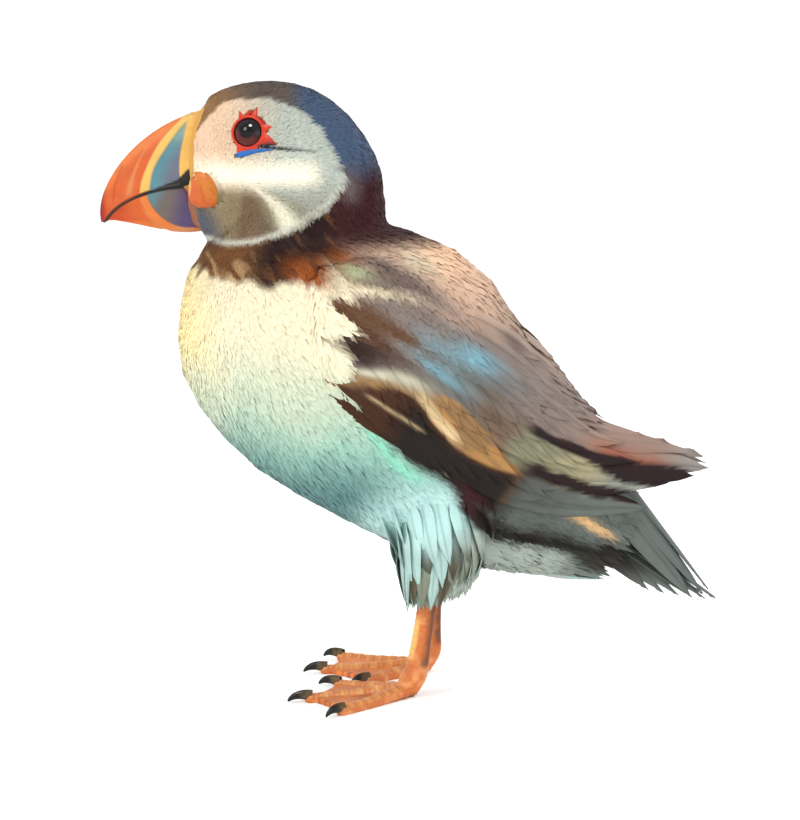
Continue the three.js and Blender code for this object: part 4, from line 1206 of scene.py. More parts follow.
# The pale band on the upper half, as heights and its distances from the cere's centre.
BAND_BACK = ([166, 171, 177, 184, 193.5], [43.7, 42.6, 40.8, 37.2, 33.0])
BAND_FRONT = ([166, 171, 178.2, 188, 194.1], [47.1, 45.8, 42.9, 38.4, 35.0])
GROOVES = (3.6, 8.4, 13.6)  # in front of the band
LOWER_CENTRE = np.array([-70.0, 170.0])  # of the rim round the lower half's patch

BILL_ORANGE = srgb(193, 88, 39)
BILL_PEACH = srgb(208, 116, 54)
BILL_RED = srgb(166, 40, 26)
BILL_TIP = srgb(126, 14, 22)
BAND_YELLOW = srgb(214, 172, 90)
BAND_PEACH = srgb(198, 132, 84)
CERE_YELLOW = srgb(214, 166, 84)
PATCH_TEAL = srgb(82, 128, 138)
PATCH_PALE = srgb(124, 150, 139)
PATCH_GREY = srgb(98, 102, 118)
PATCH_STONE = srgb(104, 94, 88)
PATCH_VIOLET = srgb(84, 70, 106)
PATCH_WINE = srgb(110, 22, 48)
DARK_MOUTH_SHADE = srgb(30, 28, 26)
BROWN_MOUTH_SHADE = srgb(104, 50, 30)


def bezier(points, t):
    a, b, c, d = (np.array(p, float) for p in points)
    t = np.asarray(t)[..., None]
    return (1 - t) ** 3 * a + 3 * t * (1 - t) ** 2 * b + 3 * t * t * (1 - t) * c + t**3 * d


def bill_grid(edge, narrower, clear, rows, columns):
    """Points of half a bill, and how far up its side each lies, from the mouth line to the ridge."""
    share = BILL_LAST * np.linspace(0, 1, rows) ** 0.9
    ridge, mouth = bezier(edge, share), bezier(MOUTH, share)
    half = BILL_HALF + (BILL_TIP_HALF - BILL_HALF) * share**0.9 - narrower
    turn = np.arange(columns) / columns * 2
    u = np.where(turn <= 1, turn, 2 - turn)
    flat = u < BILL_FLAT
    lift = np.where(flat, 0, 1 - np.abs(1 - (u - BILL_FLAT) / (1 - BILL_FLAT)) ** 1.35)
    across = np.where(flat, u / BILL_FLAT, (1 - BILL_WEDGE * lift) * np.sqrt(1 - lift**5))
    reach = ridge - mouth
    tall = np.linalg.norm(reach, axis=1)
    height = clear + (tall[:, None] - clear) * lift
    side = mouth[:, None] + (reach / tall[:, None])[:, None] * height[..., None]
    x = np.where(turn <= 1, 1, -1) * across * half[:, None]
    grid = np.concatenate([x[..., None], side], -1)
    return grid, np.broadcast_to(lift, x.shape), height


def upper_bill_marks(y, z, height, colour):
    """(how far the surface stands out, colour, height of the painted shade along the mouth line) over the
    mouth.
    """
    e = np.hypot(y - CERE_CENTRE[0], z - CERE_CENTRE[1])
    back, front = spline(z, *BAND_BACK), spline(z, *BAND_FRONT)
    band = inside(e, back, front)
    cere = fall(e - 1.2 * ramp(z, 186, 195), CERE_RADIUS - 0.25, CERE_RADIUS + 0.2)
    patch = mix(PATCH_GREY, PATCH_TEAL, ramp(e - back, -7, -1))
    patch = mix(patch, PATCH_PALE, ramp(z, 183, 192))
    colour = mix(colour, patch, e < (back + front) / 2)
    colour = mix(colour, BAND_YELLOW, band)
    out = 0.28 * band - 0.25 * inside(e, CERE_RADIUS, back - 0.2, 0.6)
    for i, ahead in enumerate(GROOVES):
        thin = 0.25 + (0.95 if i == 0 else 0.0) * fall(height, 0, 13)
        line = hump(e - front - ahead - 0.035 * (178 - z) * i, thin)
        line = line * ramp(height, 0.5, 3) * fall(height, 13 - 3 * i, 17 - 4 * i)
        out = out - 0.16 * line
        colour = mix(colour, BAND_PEACH if i == 0 else BILL_RED, line * (0.75 - 0.3 * i))
    gape = 0.55 + 1.3 * ramp(y, -86, -76) + 3.4 * ramp(y, -81, -72.5) ** 3
    return out + CERE_RAISED * cere, mix(colour, CERE_YELLOW, cere), gape


def lower_bill_marks(y, z, grain, colour):
    """The same under the mouth, where the patch has a rim round the bill's rear corner."""
    r = np.hypot(y - LOWER_CENTRE[0], z - LOWER_CENTRE[1])
    angle = np.degrees(np.arctan2(z - LOWER_CENTRE[1], y - LOWER_CENTRE[0])) % 360
    sweep = np.clip((angle - 190) / 70, 0, 1)
    rim = 17.3 - 4.5 * sweep
    patch = mix(PATCH_TEAL, PATCH_STONE, ramp(y + 0.5 * (170 - z), -86, -79))
    patch = mix(patch, PATCH_VIOLET, ramp(y + 0.2 * (170 - z), -80, -73))
    patch = mix(patch, PATCH_WINE, ramp(y + 0.3 * (z - 165) + 0.6 * grain, -74.2, -72.2))
    band = inside(r, rim, rim + 2.6)
    colour = mix(colour, BILL_RED, 0.5 * ramp(0.4 * (165 - z) - y, 92, 99))
    colour = mix(colour, patch, fall(r, rim - 0.3, rim + 0.3))
    colour = mix(colour, mix(BILL_PEACH, BAND_PEACH, ramp(sweep, 0.5, 0.85)), band)
    line = hump(r - rim - 3.2, 0.3) * inside(sweep, 0.1, 0.6, 0.1)
    out = 0.22 * band - 0.22 * line - 0.2 * fall(r, rim - 1, rim)
    return out, mix(colour, BAND_PEACH, 0.7 * line), 0.35 + 0.5 * ramp(y, -86, -74)


def bill_marks(points, height, lift, upper):
    """(how far the surface stands out, colour) at places on the bill."""
    _, y, z = points.T
    forward = -y
    grain = noise(points * [0, 0.35, 1], 1.6, 41)
    # Lighter peach along each half's ridge, short of the tip: a painted highlight.
    colour = mix(BILL_ORANGE, BILL_PEACH, 0.8 * ramp(lift, 0.72, 0.95) * fall(forward, 98, 104))
    colour = mix(colour, BILL_RED, ramp(forward + 0.35 * (178 - z), 104, 111))
    if upper:
        out, colour, gape = upper_bill_marks(y, z, height, colour)
    else:
        out, colour, gape = lower_bill_marks(y, z, grain, colour)
    colour = mix(colour, BILL_TIP, 0.8 * ramp(forward, 100.5, 103.5))
    # Painted shade in the gap between the bill's halves: dark next to the mouth line, browner towards the
    # tip.
    dark = fall(height, gape, gape + 0.35)
    mouth = mix(DARK_MOUTH_SHADE, BROWN_MOUTH_SHADE, ramp(forward, 85, 93) * ramp(height, 0.1, 0.3))
    return out, mix(colour * (1 + 0.06 * grain)[..., None], mouth, dark)


def bill_half(edge, upper):
    """(points, quads, colours) of the bill over or under the mouth line. The lower half fits in the upper."""
    clear, narrower = (0.0, 0.0) if upper else (-0.2, 0.4)
    grid, lift, height = bill_grid(edge, narrower, clear, BILL_ROWS, BILL_COLUMNS)
    points = grid.reshape(-1, 3)
    normals = vertex_normals(points, strip_quads(BILL_ROWS, BILL_COLUMNS, closed=True))
    normals *= np.sign(((normals * (points - BILL_MIDDLE)).sum(1)).sum())
    height, lift = height.reshape(-1), lift.reshape(-1)
    out, colour = bill_marks(points, height, lift, upper)
    ridge = 0.05 * noise(points * [1, 0.3, 1], 1.1, 44)
    points = points + normals * ((out + ridge) * ramp(lift, 0.005, 0.05))[:, None]
    tip = points[-BILL_COLUMNS:].mean(0)
    points = np.concatenate([points, np.repeat(tip[None], BILL_COLUMNS, 0)])
    colour = np.concatenate([colour, colour[-BILL_COLUMNS:]])
    return points, outward(points, strip_quads(BILL_ROWS + 1, BILL_COLUMNS, closed=True)), colour


def make_bill():
    horn = horn_material("bill_horn", 0.36, 0.06)
    soft = horn_material("cere_skin", 0.5, 0.02, 1500.0)
    points, quads, colour = bill_half(CULMEN, True)
    middle = points[quads].mean(1)
    is_cere = np.hypot(middle[:, 1] - CERE_CENTRE[0], middle[:, 2] - CERE_CENTRE[1]) < CERE_RADIUS
    for name, chosen, material, slot, node in (
        ("bill_upper_horn", ~is_cere, horn, "bill_horn", "bill_upper"),
        ("cere_band", is_cere, soft, "cere", "cere"),
    ):
        used, corners = np.unique(quads[chosen], return_inverse=True)
        new_object(name, points[used], corners.reshape(-1, 4), material, colour[used], [node])
    points, quads, colour = bill_half(GONYS, False)
    new_object("bill_lower_horn", points, quads, horn, colour, ["bill_lower"])


# ---------------------------------------------------------------- eyes and gape

EYE_RADIUS = 6.2
EYE_OVER = 3.92  # how far the face lies in front of the eyeball's middle
PUPIL = 2.3
PUPIL_BLACK = np.array([0.004, 0.004, 0.005])
IRIS = srgb(30, 24, 30)
IRIS_WARM = srgb(84, 30, 24)
RING_RED = srgb(206, 50, 16)
RING_DARK = srgb(130, 26, 14)
PLATE_BLUE = srgb(40, 98, 168)
PLATE_RED = srgb(190, 44, 18)
GAPE_ORANGE = srgb(194, 94, 42)
GAPE_YELLOW = srgb(226, 184, 110)
GAPE_GOLD = srgb(196, 112, 36)
GAPE_SHADOW = srgb(132, 76, 26)
GAPE_HIGH = 3.4
# The ring's bare skin runs out in points: angle from straight back, reach and width in degrees.
RING_POINTS = (
    (74, 4.1, 13), (93, 1.4, 8), (114, 3.2, 12), (170, 0.5, 30), (243, 2.4, 18), (268, 0.9, 40),
    (300, 1.6, 26), (334, 5.6, 24), (12, 2.7, 18),
)
EYE_ROWS, EYE_COLUMNS, RING_COLUMNS, BAR_COLUMNS = 60, 72, 180, 16
GAPE_ROWS, GAPE_COLUMNS = 34, 96
# The ring's section inside its points: radius and height over the face.
RING_PROFILE = np.array([(4.7, -0.3), (4.78, 0.35), (4.95, 0.62), (5.2, 0.68), (5.45, 0.5)])


def on_face(surface, centre, axis, u, v):
    """Places on the head beside the eye: u back and v up from it, with the normals there."""
    back, up = face_frame(axis)
    places = centre + axis * EYE_OVER + back * u[..., None] + up * v[..., None]
    spots, normals = surface.nearest(places.reshape(-1, 3))
    return spots.reshape(places.shape), normals.reshape(places.shape)


def make_eyeball(side, material):
    centre, axis = eye_place(side)
    back, up = face_frame(axis)
    angle = np.linspace(0, math.pi, EYE_ROWS)[:, None]
    turn = circle(EYE_COLUMNS)[None]
    flat = np.cos(turn)[..., None] * back + np.sin(turn)[..., None] * up
    grid = centre + EYE_RADIUS * (np.cos(angle)[..., None] * axis + np.sin(angle)[..., None] * flat)
    radius = EYE_RADIUS * np.sin(angle) + 0 * turn
    radius = np.where(angle > math.pi / 2, EYE_RADIUS, radius)
    fibres = 0.2 * np.sin(turn * 31 + 2 * np.sin(turn * 7))
    colour = mix(IRIS, IRIS_WARM, ramp(-np.sin(turn) - 0.3 * np.cos(turn), -0.2, 0.9) + 0 * radius)
    colour = colour * (1 + fibres * ramp(radius, PUPIL, 3))[..., None]
    colour = mix(colour, PUPIL_BLACK, fall(radius, PUPIL - 0.12, PUPIL + 0.12))
    colour = mix(colour, colour * 0.3, ramp(radius, 4.3, 4.8))
    shell_piece(f"eyeball_{side}", grid, material, "eye", colour, f"eye_{side}")


def make_eye_ring(surface, side, material):
    centre, axis = eye_place(side)
    back, up = face_frame(axis)
    turn = np.arange(RING_COLUMNS) / RING_COLUMNS * 360
    reach = np.full(RING_COLUMNS, 0.02)
    for angle, far, wide in RING_POINTS:
        off = (turn - angle + 180) % 360 - 180
        reach += far * np.maximum(1 - np.abs(off) / wide, 0) ** 1.3
    turn = np.radians(turn)
    way = np.cos(turn)[:, None] * back + np.sin(turn)[:, None] * up
    rows = []
    for radius, height in RING_PROFILE:
        wrinkle = 0.05 * np.sin(turn * 34 + radius * 3) * ramp(radius, RING_PROFILE[0, 0], 5.2)
        rows.append(centre + axis * (EYE_OVER + height + wrinkle)[:, None] + way * radius)
    for share, height in ((0.3, 0.42), (0.7, 0.34), (1.0, 0.22), (1.08, -0.7)):
        far = RING_PROFILE[-1, 0] + reach * share
        spot, normal = on_face(surface, centre, axis, np.cos(turn) * far, np.sin(turn) * far)
        rows.append(spot + normal * height)
    grid = np.stack(rows)
    fade = np.linspace(0, 1, len(rows))[:, None] + 0 * turn
    patchy = noise(grid, 1.3, 51)
    colour = mix(RING_DARK, RING_RED, ramp(fade, 0.0, 0.25) * (0.85 + 0.15 * patchy))
    lash = inside(np.degrees(turn), 300, 337, 8) * ramp(fade, 0.55, 0.8)
    colour = mix(colour, CREASE, lash)
    shell_piece(f"orbital_ring_{side}", grid, material, "eye_ring", colour, f"eye_ring_{side}")


def swept(path, normals, across, height):
    """A rounded bar along path with closed ends: across and height give its half sizes by row."""
    side = np.cross(normals, unit(np.gradient(path, axis=0)))
    grid = rings(path, side, across, normals, height, BAR_COLUMNS)
    first, last = (np.repeat(path[i][None, None], BAR_COLUMNS, 1) for i in (0, -1))
    return np.concatenate([first, grid, last])


def make_eye_plates(surface, side, material):
    centre, axis = eye_place(side)
    t = np.linspace(0, 1, 24)
    rounded = np.sqrt(np.maximum(1 - (2 * t - 1) ** 6, 0.02))
    low_u, low_v = -4.3 + 13.4 * t, -7.5 + 2.3 * t - 0.6 * t**2 + 0.1 * np.sin(math.pi * t)
    high_u, high_v = 0.2 - 0.3 * t, 5.5 + 2.6 * t
    for name, u, v, across, colour in (
        ("below", low_u, low_v, (1.15 - 1.0 * t**1.2) * rounded, PLATE_BLUE),
        ("above", high_u, high_v, (1.7 - 1.5 * t) * rounded, PLATE_RED),
    ):
        path, normals = on_face(surface, centre, axis, u, v)
        grid = swept(path + normals * 0.1, normals, across, 0.6 * rounded)
        tint = colour * (1 + 0.2 * noise(grid, 0.9, 57))[..., None]
        node = f"eye_plate_{name}_{side}"
        shell_piece(f"eye_bar_{name}_{side}", grid, material, "eye_plate", tint, node)


def make_gape(side, sign, material):
    """The wrinkled rosette of bare skin at the corner of the mouth."""
    middle = rosette_place(side)
    r = np.linspace(0, 1, GAPE_ROWS)[:, None]
    turn = circle(GAPE_COLUMNS)[None]
    corner = 1 + 0.12 * hump(np.degrees(turn) - 190, 26)
    dv = ROSETTE_HALF[1] * r * np.sin(turn)
    du = ROSETTE_HALF[0] * (1 - 0.018 * dv) * corner * r * np.cos(turn)
    y = middle[1] + du * math.cos(ROSETTE_LEAN) - dv * math.sin(ROSETTE_LEAN)
    z = middle[2] + du * math.sin(ROSETTE_LEAN) + dv * math.cos(ROSETTE_LEAN)
    bent = streaks(3, 61, 0 * y, y, z)
    folds = np.sin(1.7 * du - 0.4 * dv * np.cos(0.3 * dv) + 1.2 * bent) * (1 - r**4)
    height = GAPE_HIGH * np.sqrt(1 - 0.985 * r**2.4) + 0.12 * folds + 0.06 * np.sin(15 * turn) * r**2
    x = middle[0] - sign * 1.2 + sign * height
    grid = np.stack([x + 0 * y, y, z], -1)
    colour = mix(GAPE_ORANGE, GAPE_GOLD, ramp(np.cos(turn - 0.35) * r + 0.08 * bent, -0.35, 0.15))
    # A painted shadow: brown over the rosette's lower rear.
    colour = mix(colour, GAPE_SHADOW, 0.8 * ramp(np.cos(turn + 0.6) * r + 0.15 * bent, 0.45, 0.95))
    colour = mix(colour, GAPE_YELLOW, ramp(-np.cos(turn + 0.5) * r, 0.8, 0.97))
    # Painted shade in the grooves between the folds.
    colour = mix(colour, colour * 0.88, ramp(-folds, 0.5, 1))
    shell_piece(f"gape_{side}", grid, material, "rosette", colour, f"rosette_{side}")


def make_face(surface):
    ball = eye_material()
    red = flesh_material("orbital_skin", 0.38, 1800.0, 0.1)
    bar = horn_material("eye_bar", 0.5, 0.02, 2000.0)
    rosy = flesh_material("gape_skin", 0.45, 1100.0, 0.15)
    for side, sign in SIDES:
        make_eyeball(side, ball)
        make_eye_ring(surface, side, red)
        make_eye_plates(surface, side, bar)
        make_gape(side, sign, rosy)


make_bill()
make_face(form_surface)


# ---------------------------------------------------------------- wings

SQUARENESS = 2.25  # of the form's section: 2 is an ellipse
CELL_EDGE = 0.07  # of a feather's cell on the bake's map, left free on each side
# The folded wings' form, as in the CAD part: along the trunk's axis, top, bottom, half width.
WING_FORM = np.array([
    (-32, 38, -44, 40.5), (-24, 43, -47, 43.3), (-10, 48.7, -50, 46), (8, 52.2, -50.5, 46.8),
    (26, 50.2, -49, 45.4), (44, 43.2, -47, 41.8), (60, 36.2, -44, 36.2), (76, 31, -38, 29.5),
    (84, 30, -34, 26), (92, 31.5, -30, 22.5), (106, 35.2, -22, 17), (124, 39.2, -14, 11.5),
])


def wing_turn(at, up):
    """The angle round the wings' form, from its top, of a height over the trunk's axis."""
    top, bottom, _ = spline(at, WING_FORM[:, 0], WING_FORM[:, 1:]).T
    level = np.clip((up - (top + bottom) / 2) / ((top - bottom) / 2), -1, 1)
    return np.arccos(np.sign(level) * np.abs(level) ** (SQUARENESS / 2))


def form_place(at, turn, sign):
    """Places on the wings' form."""
    top, bottom, half = np.moveaxis(spline(at, WING_FORM[:, 0], WING_FORM[:, 1:]), -1, 0)
    c, s = np.cos(turn), np.sin(turn)
    up = (top + bottom) / 2 + (top - bottom) / 2 * np.sign(c) * np.abs(c) ** (2 / SQUARENESS)
    places = AXIS_START + AXIS_BACK * at[..., None] + AXIS_UP * up[..., None]
    places[..., 0] = sign * np.maximum(half * np.abs(s) ** (2 / SQUARENESS), 1.4)
    return places


def wing_place(at, turn, sign):
    """Places on the wings' form and the way out from it."""
    ahead = form_place(at + 0.5, turn, sign) - form_place(at - 0.5, turn, sign)
    round_it = form_place(at, turn + 0.02, sign) - form_place(at, turn - 0.02, sign)
    return form_place(at, turn, sign), unit(np.cross(round_it, ahead)) * sign


def big_vanes(name, sets, material, thick, sign=1, replaces=()):
    """Layered thick feathers as one piece. Each set is (grid, colour, vane uv) by feather, row, column."""
    grid, tint, vane = (np.concatenate(kind) for kind in zip(*sets))
    count = len(grid)
    quads = many_strips(*grid.shape[:3])
    if sign < 0:
        quads = quads[:, ::-1]
    side = math.ceil(math.sqrt(count))
    share = np.stack([(vane[..., 0] + 1) / 2, vane[..., 1]], -1) * (1 - 2 * CELL_EDGE) + CELL_EDGE
    number = np.arange(count)[:, None, None]
    atlas = np.stack([number % side + share[..., 0], number // side + share[..., 1]], -1) / side
    maps = {BAKE_MAP: atlas.reshape(-1, 2)[quads], VANE_MAP: vane.reshape(-1, 2)[quads]}
    obj = new_object(name, grid, quads, material, tint, replaces, maps)
    shell = obj.modifiers.new("thickness", "SOLIDIFY")
    shell.thickness = thick * MM
    shell.offset = -1


VANE_ROWS, VANE_COLUMNS = 30, 9
ROOT_SUNK = 2.2  # how deep a big feather's root lies under its layer
FRONT_SUNK = 4.0  # and how much deeper it all lies where the pale breast covers the wing's front


def vane_set(spots, normals, width, pointed, lift, roll, colours, shaft=0.0, frayed=0.04):
    """Grids for feathers along given lines. colours(points, number, beside) gives their tints."""
    count = len(spots)
    t = np.linspace(0, 1, VANE_ROWS)
    c = np.linspace(-1, 1, VANE_COLUMNS)
    wide = np.broadcast_to(np.asarray(width, float), count).reshape(-1, 1, 1)
    ways = unit(np.gradient(spots, axis=1))
    sides = unit(np.cross(normals, ways))
    body = 0.4 + 0.6 * ramp(t, 0, 0.3)
    end = np.clip((t - 0.55 + 0.25 * pointed) / (0.45 + 0.25 * pointed), 0, 1)
    tip = np.maximum(1 - end ** (2.6 - 1.2 * pointed), 0) ** (0.5 + 0.35 * pointed)
    across = wide / 2 * (body * np.maximum(tip, 0.03))[:, None] * c
    bend = 0.2 * np.abs(c - shaft) * np.abs(across) + across**2 / 110
    height = lift[..., None] + roll * across - bend
    height = height + 0.1 * hump(c - shaft, 0.12) * (1 - 0.7 * t[:, None])
    slant = -np.abs(c - shaft) * 0.2 * wide * t[:, None]
    tear = rng.uniform(-1, 1, (count, VANE_ROWS, VANE_COLUMNS)) * frayed
    tear = tear * wide * np.abs(c) ** 2 * ramp(t, 0.25, 0.8)[:, None]
    grid = spots[:, :, None] + sides[:, :, None] * across[..., None]
    grid = grid + normals[:, :, None] * height[..., None] + ways[:, :, None] * (slant + tear)[..., None]
    number = np.arange(count)[:, None, None]
    number, beside, out, along = np.broadcast_arrays(number, c, c - shaft, t[:, None])
    colour = colours(grid, number, beside)
    shaft_line = hump(c - shaft, 0.1)[:, None]
    edge = ramp(np.abs(c), 0.75, 1.0)[:, None]
    shade = rng.normal(1, 0.05, (count, 1, 1, 1)) * (0.82 + 0.18 * ramp(t, 0, 0.4))[:, None, None]
    return grid, colour * (1 - 0.28 * shaft_line) * (1 + 0.1 * edge) * shade, np.stack([out, along], -1)


def wing_colour(points, *_):
    return upper_colour(points)


def wing_set(sign, root, tip, width, layer, pointed, shaft=0.0, roll=0.05, frayed=0.04, sunk=ROOT_SUNK):
    """Feathers on the folded wing, each from a root to a tip, both (at, up) along and over the axis."""
    root_at, root_up = (np.asarray(v, float) for v in root)
    tip_at, tip_up = (np.asarray(v, float) for v in tip)
    count = len(root_at)
    t = np.linspace(0, 1, VANE_ROWS)
    at = root_at[:, None] + (tip_at - root_at)[:, None] * t
    turn_root, turn_tip = wing_turn(root_at, root_up), wing_turn(tip_at, tip_up)
    turn = turn_root[:, None] + (turn_tip - turn_root)[:, None] * t**1.1
    spots, normals = wing_place(at, turn, sign)
    rise = np.broadcast_to(layer, count)[:, None] + 0.2 * t - sunk * (1 - t) ** 2
    rise = rise + rng.uniform(-0.06, 0.06, (count, 1))
    rise = rise - FRONT_SUNK * fall(wing_front(spots), 0, 12)
    return vane_set(spots, normals, width, pointed, rise, sign * roll, wing_colour, shaft, frayed)


def jitter(values, amount):
    return values + rng.uniform(-amount, amount, np.shape(values))


# The long flight feathers, from the topmost down, as in the CAD part: root (at, up), tip (at, up), width.
PRIMARIES = np.array([
    (66, 17, 121.8, 36.6, 9.4), (64, 12, 118.4, 32, 9.4), (62, 7, 113.4, 27.4, 9), (60, 3, 107.6, 23, 8.8),
])
LOW_PRIMARIES = np.array([
    (56, -2, 110.6, 14.6, 8.6), (52, -4, 104.5, 11, 8.6), (48, -6, 97, 7, 8.4),
])
# Rows of shorter feathers, the lowest first: count, tips along the axis (first, last), the tips'
# heights at some places, length, how far the roots lie above the tips, width, layer and pointedness.
COVERT_ROWS = (
    (12, (16, 82), ([16, 30, 47, 60, 82], [-6, -2.5, 1.5, 6, 14]), 38, 8, 9.5, -0.55, 0.85),
    (12, (14, 72), ([14, 30, 47, 72], [-1, 3, 8, 17]), 27, 7, 8.6, -0.25, 0.7),
    (12, (14, 66), ([14, 30, 47, 66], [4, 8, 13, 20]), 21, 5.5, 8.0, 0.0, 0.6),
    (8, (56, 82), ([56, 82], [22, 20]), 28, 4, 8.5, 0.15, 0.7),
    (8, (54, 78), ([54, 78], [27, 25]), 27, 4, 8.5, 0.35, 0.7),
    (8, (50, 74), ([50, 74], [32, 29]), 25, 3, 8.5, 0.5, 0.7),
    (8, (46, 70), ([46, 70], [37, 33]), 24, 2, 8.0, 0.6, 0.7),
)
# Feathers under the coverts, that show only where those part, and long ones along the wing's top edge:
# root (at, up), tip (at, up), and the latter's width.
BACKING = np.array([(34, 36, 38, 40, 42), (12, 6, 0, 18, 24), (84, 82, 80, 84, 84), (12, 6, 1, 18, 24)])
RIDGE_FEATHERS = np.array([(66, 24, 119, 38.4, 9.0), (62, 30, 108, 35.9, 9.0), (58, 33, 98, 33, 9.0)])
# The lowest coverts, along the wing's front and lower edge, and long scapulars over the coverts.
EDGE_COUNT = 10
EDGE_HEIGHTS = ([24, 34, 47, 60, 74], [-11, -11, -9.5, -5.5, 0])
SCAPULARS = np.array([(46, 42, 38), (24, 27, 29), (99, 92, 84), (26, 28, 29.5)])
# Rows of back feathers over the gap between the wings: count, tips along the axis, how far below the
# form's ridge they lie, and their length. Their roots lie deep, where the form stands off the body.
BACK_SUNK = 10.0
BACK_ROWS = ((7, (60, 84), 2.4, 24), (7, (56, 82), 0.9, 24), (7, (58, 80), 0.15, 23))


def edge_coverts(sign):
    tips = np.linspace(24, 74, EDGE_COUNT)
    edge = spline(tips, *EDGE_HEIGHTS)
    roots = (tips - np.linspace(38, 52, EDGE_COUNT), edge + np.linspace(5, 12, EDGE_COUNT))
    layer = -0.95 + 0.05 * np.arange(EDGE_COUNT)
    return wing_set(sign, roots, (tips, edge), 9.6, layer, 1.0, -0.15, 0.06)


def covert_row(sign, count, ends, heights, length, drop, width, layer, pointed):
    tips = jitter(np.linspace(*ends, count), 1.2)
    edge = jitter(spline(tips, *heights), 0.6)
    layer = layer + 0.02 * np.arange(count)
    return wing_set(sign, (tips - length, edge + drop), (tips, edge), width, layer, pointed)


def back_row(sign, count, ends, below, length):
    tips = jitter(np.linspace(*ends, count), 0.8)
    places = [(at, spline(at, *WING_FORM[:, :2].T) - below) for at in (tips - length, tips)]
    layer = 0.75 + 0.02 * np.arange(count)[::-1]
    return wing_set(sign, *places, 9.0, layer, 0.75, sunk=BACK_SUNK)


def make_wing(side, sign):
    """The folded wing: flight feathers, then the rows of coverts and scapulars over their roots."""
    sets = []
    for rows, layer in ((LOW_PRIMARIES.T, -1.9), (PRIMARIES.T, -1.2)):
        rise = layer + 0.22 * np.arange(rows.shape[1])[::-1]
        sets.append(wing_set(sign, rows[:2], rows[2:4], rows[4] + 1.2, rise, 0.3, -0.25, 0.04, 0.02))
    sets.append(wing_set(sign, BACKING[:2], BACKING[2:], 13.0, -1.7, 0.4, 0, 0.02, 0.01))
    rows = RIDGE_FEATHERS.T
    sets.append(wing_set(sign, rows[:2], rows[2:4], rows[4], 0.1, 0.5, 0.1, 0.03, 0.02))
    sets.append(edge_coverts(sign))
    sets += [covert_row(sign, *numbers) for numbers in COVERT_ROWS]
    sets += [back_row(sign, *numbers) for numbers in BACK_ROWS]
    sets.append(wing_set(sign, SCAPULARS[:2], SCAPULARS[2:], 11.5, np.array([0.1, 0.3, 0.5]), 0.7, 0, 0.04))
    big_vanes(f"wing_feathers_{side}", sets, FLIGHT, 0.25, sign, [f"wing_{side}"])


# ---------------------------------------------------------------- tail

RECTRICES = 6  # on each side
TAIL_FROM, TAIL_TO = 84, 151  # along the axis


def tail_colour(points, *_):
    return rump_colour(points)


def undertail_colour(points, *_):
    at, up = axis_place(points)
    strokes = streaks(2.0, 83, at * 0.12, up, points[..., 0])
    colour = mix(UNDERTAIL, THIGH_PALE * 0.7, ramp(strokes, -0.4, 0.6))
    return mix(colour, TAIL_GREEN, 0.6 * ramp(at, 104, 118))


# Rows of long coverts that lie like a roof over the tail's root, and under it, the outermost row last.
# Each: the roots' place along the axis, the middle tip (at, up) and the width.
COVERTS_OVER = (
    (94, (146, 0.2), 9.5), (91, (139, 2.9), 9.5), (88, (132, 5.5), 9.5),
    (85, (125, 8.1), 9.5), (81, (118, 10.7), 9.5), (77, (110, 13.6), 9.0),
)
COVERTS_UNDER = ((94, (113, -16.4), 9.5), (86, (103, -20.8), 9.5), (78, (92, -26.4), 9.0))
COVERT_TURN = 24  # degrees round the body between neighbours
COVERT_STEP = 2.8  # mm between neighbours' tips


def tail_coverts(surface, count, colours, facing, start, tip, width):
    """A row of coverts from the body's surface to tips over the tail, or under it if facing is -1."""
    places = np.arange(count) - (count - 1) / 2
    turn = np.radians(places * COVERT_TURN)
    across = np.array([1.0, 0, 0])
    around = np.sin(turn)[:, None] * across + facing * np.cos(turn)[:, None] * AXIS_UP
    at = start + jitter(0 * places, 1)
    reach = 40 if facing > 0 else 31
    roots, _ = surface.nearest(AXIS_START + AXIS_BACK * at[:, None] + around * reach)
    drop = facing * 1.5 * np.abs(places) ** 1.5
    ends = AXIS_START + AXIS_BACK * (tip[0] - 1.6 * np.abs(places) ** 1.5)[:, None]
    ends = ends + across * (places * COVERT_STEP)[:, None] + AXIS_UP * (tip[1] - drop)[:, None]
    t = np.linspace(0, 1, VANE_ROWS)[:, None]
    bulge = 2.4 * t * (1 - t) - 1.5 * (1 - t) ** 4
    lines = roots[:, None] * (1 - t) + ends[:, None] * t + around[:, None] * bulge
    tilt = turn * 1.25
    over = np.sin(tilt)[:, None] * across + facing * np.cos(tilt)[:, None] * AXIS_UP
    normals = mix(around[:, None], over[:, None], np.linspace(0, 1, VANE_ROWS))
    rise = np.full((len(places), VANE_ROWS), 0.3) - 0.25 * np.abs(places)[:, None]
    return vane_set(lines, unit(normals), width, 0.7, rise, 0.0, colours, 0, 0.02)


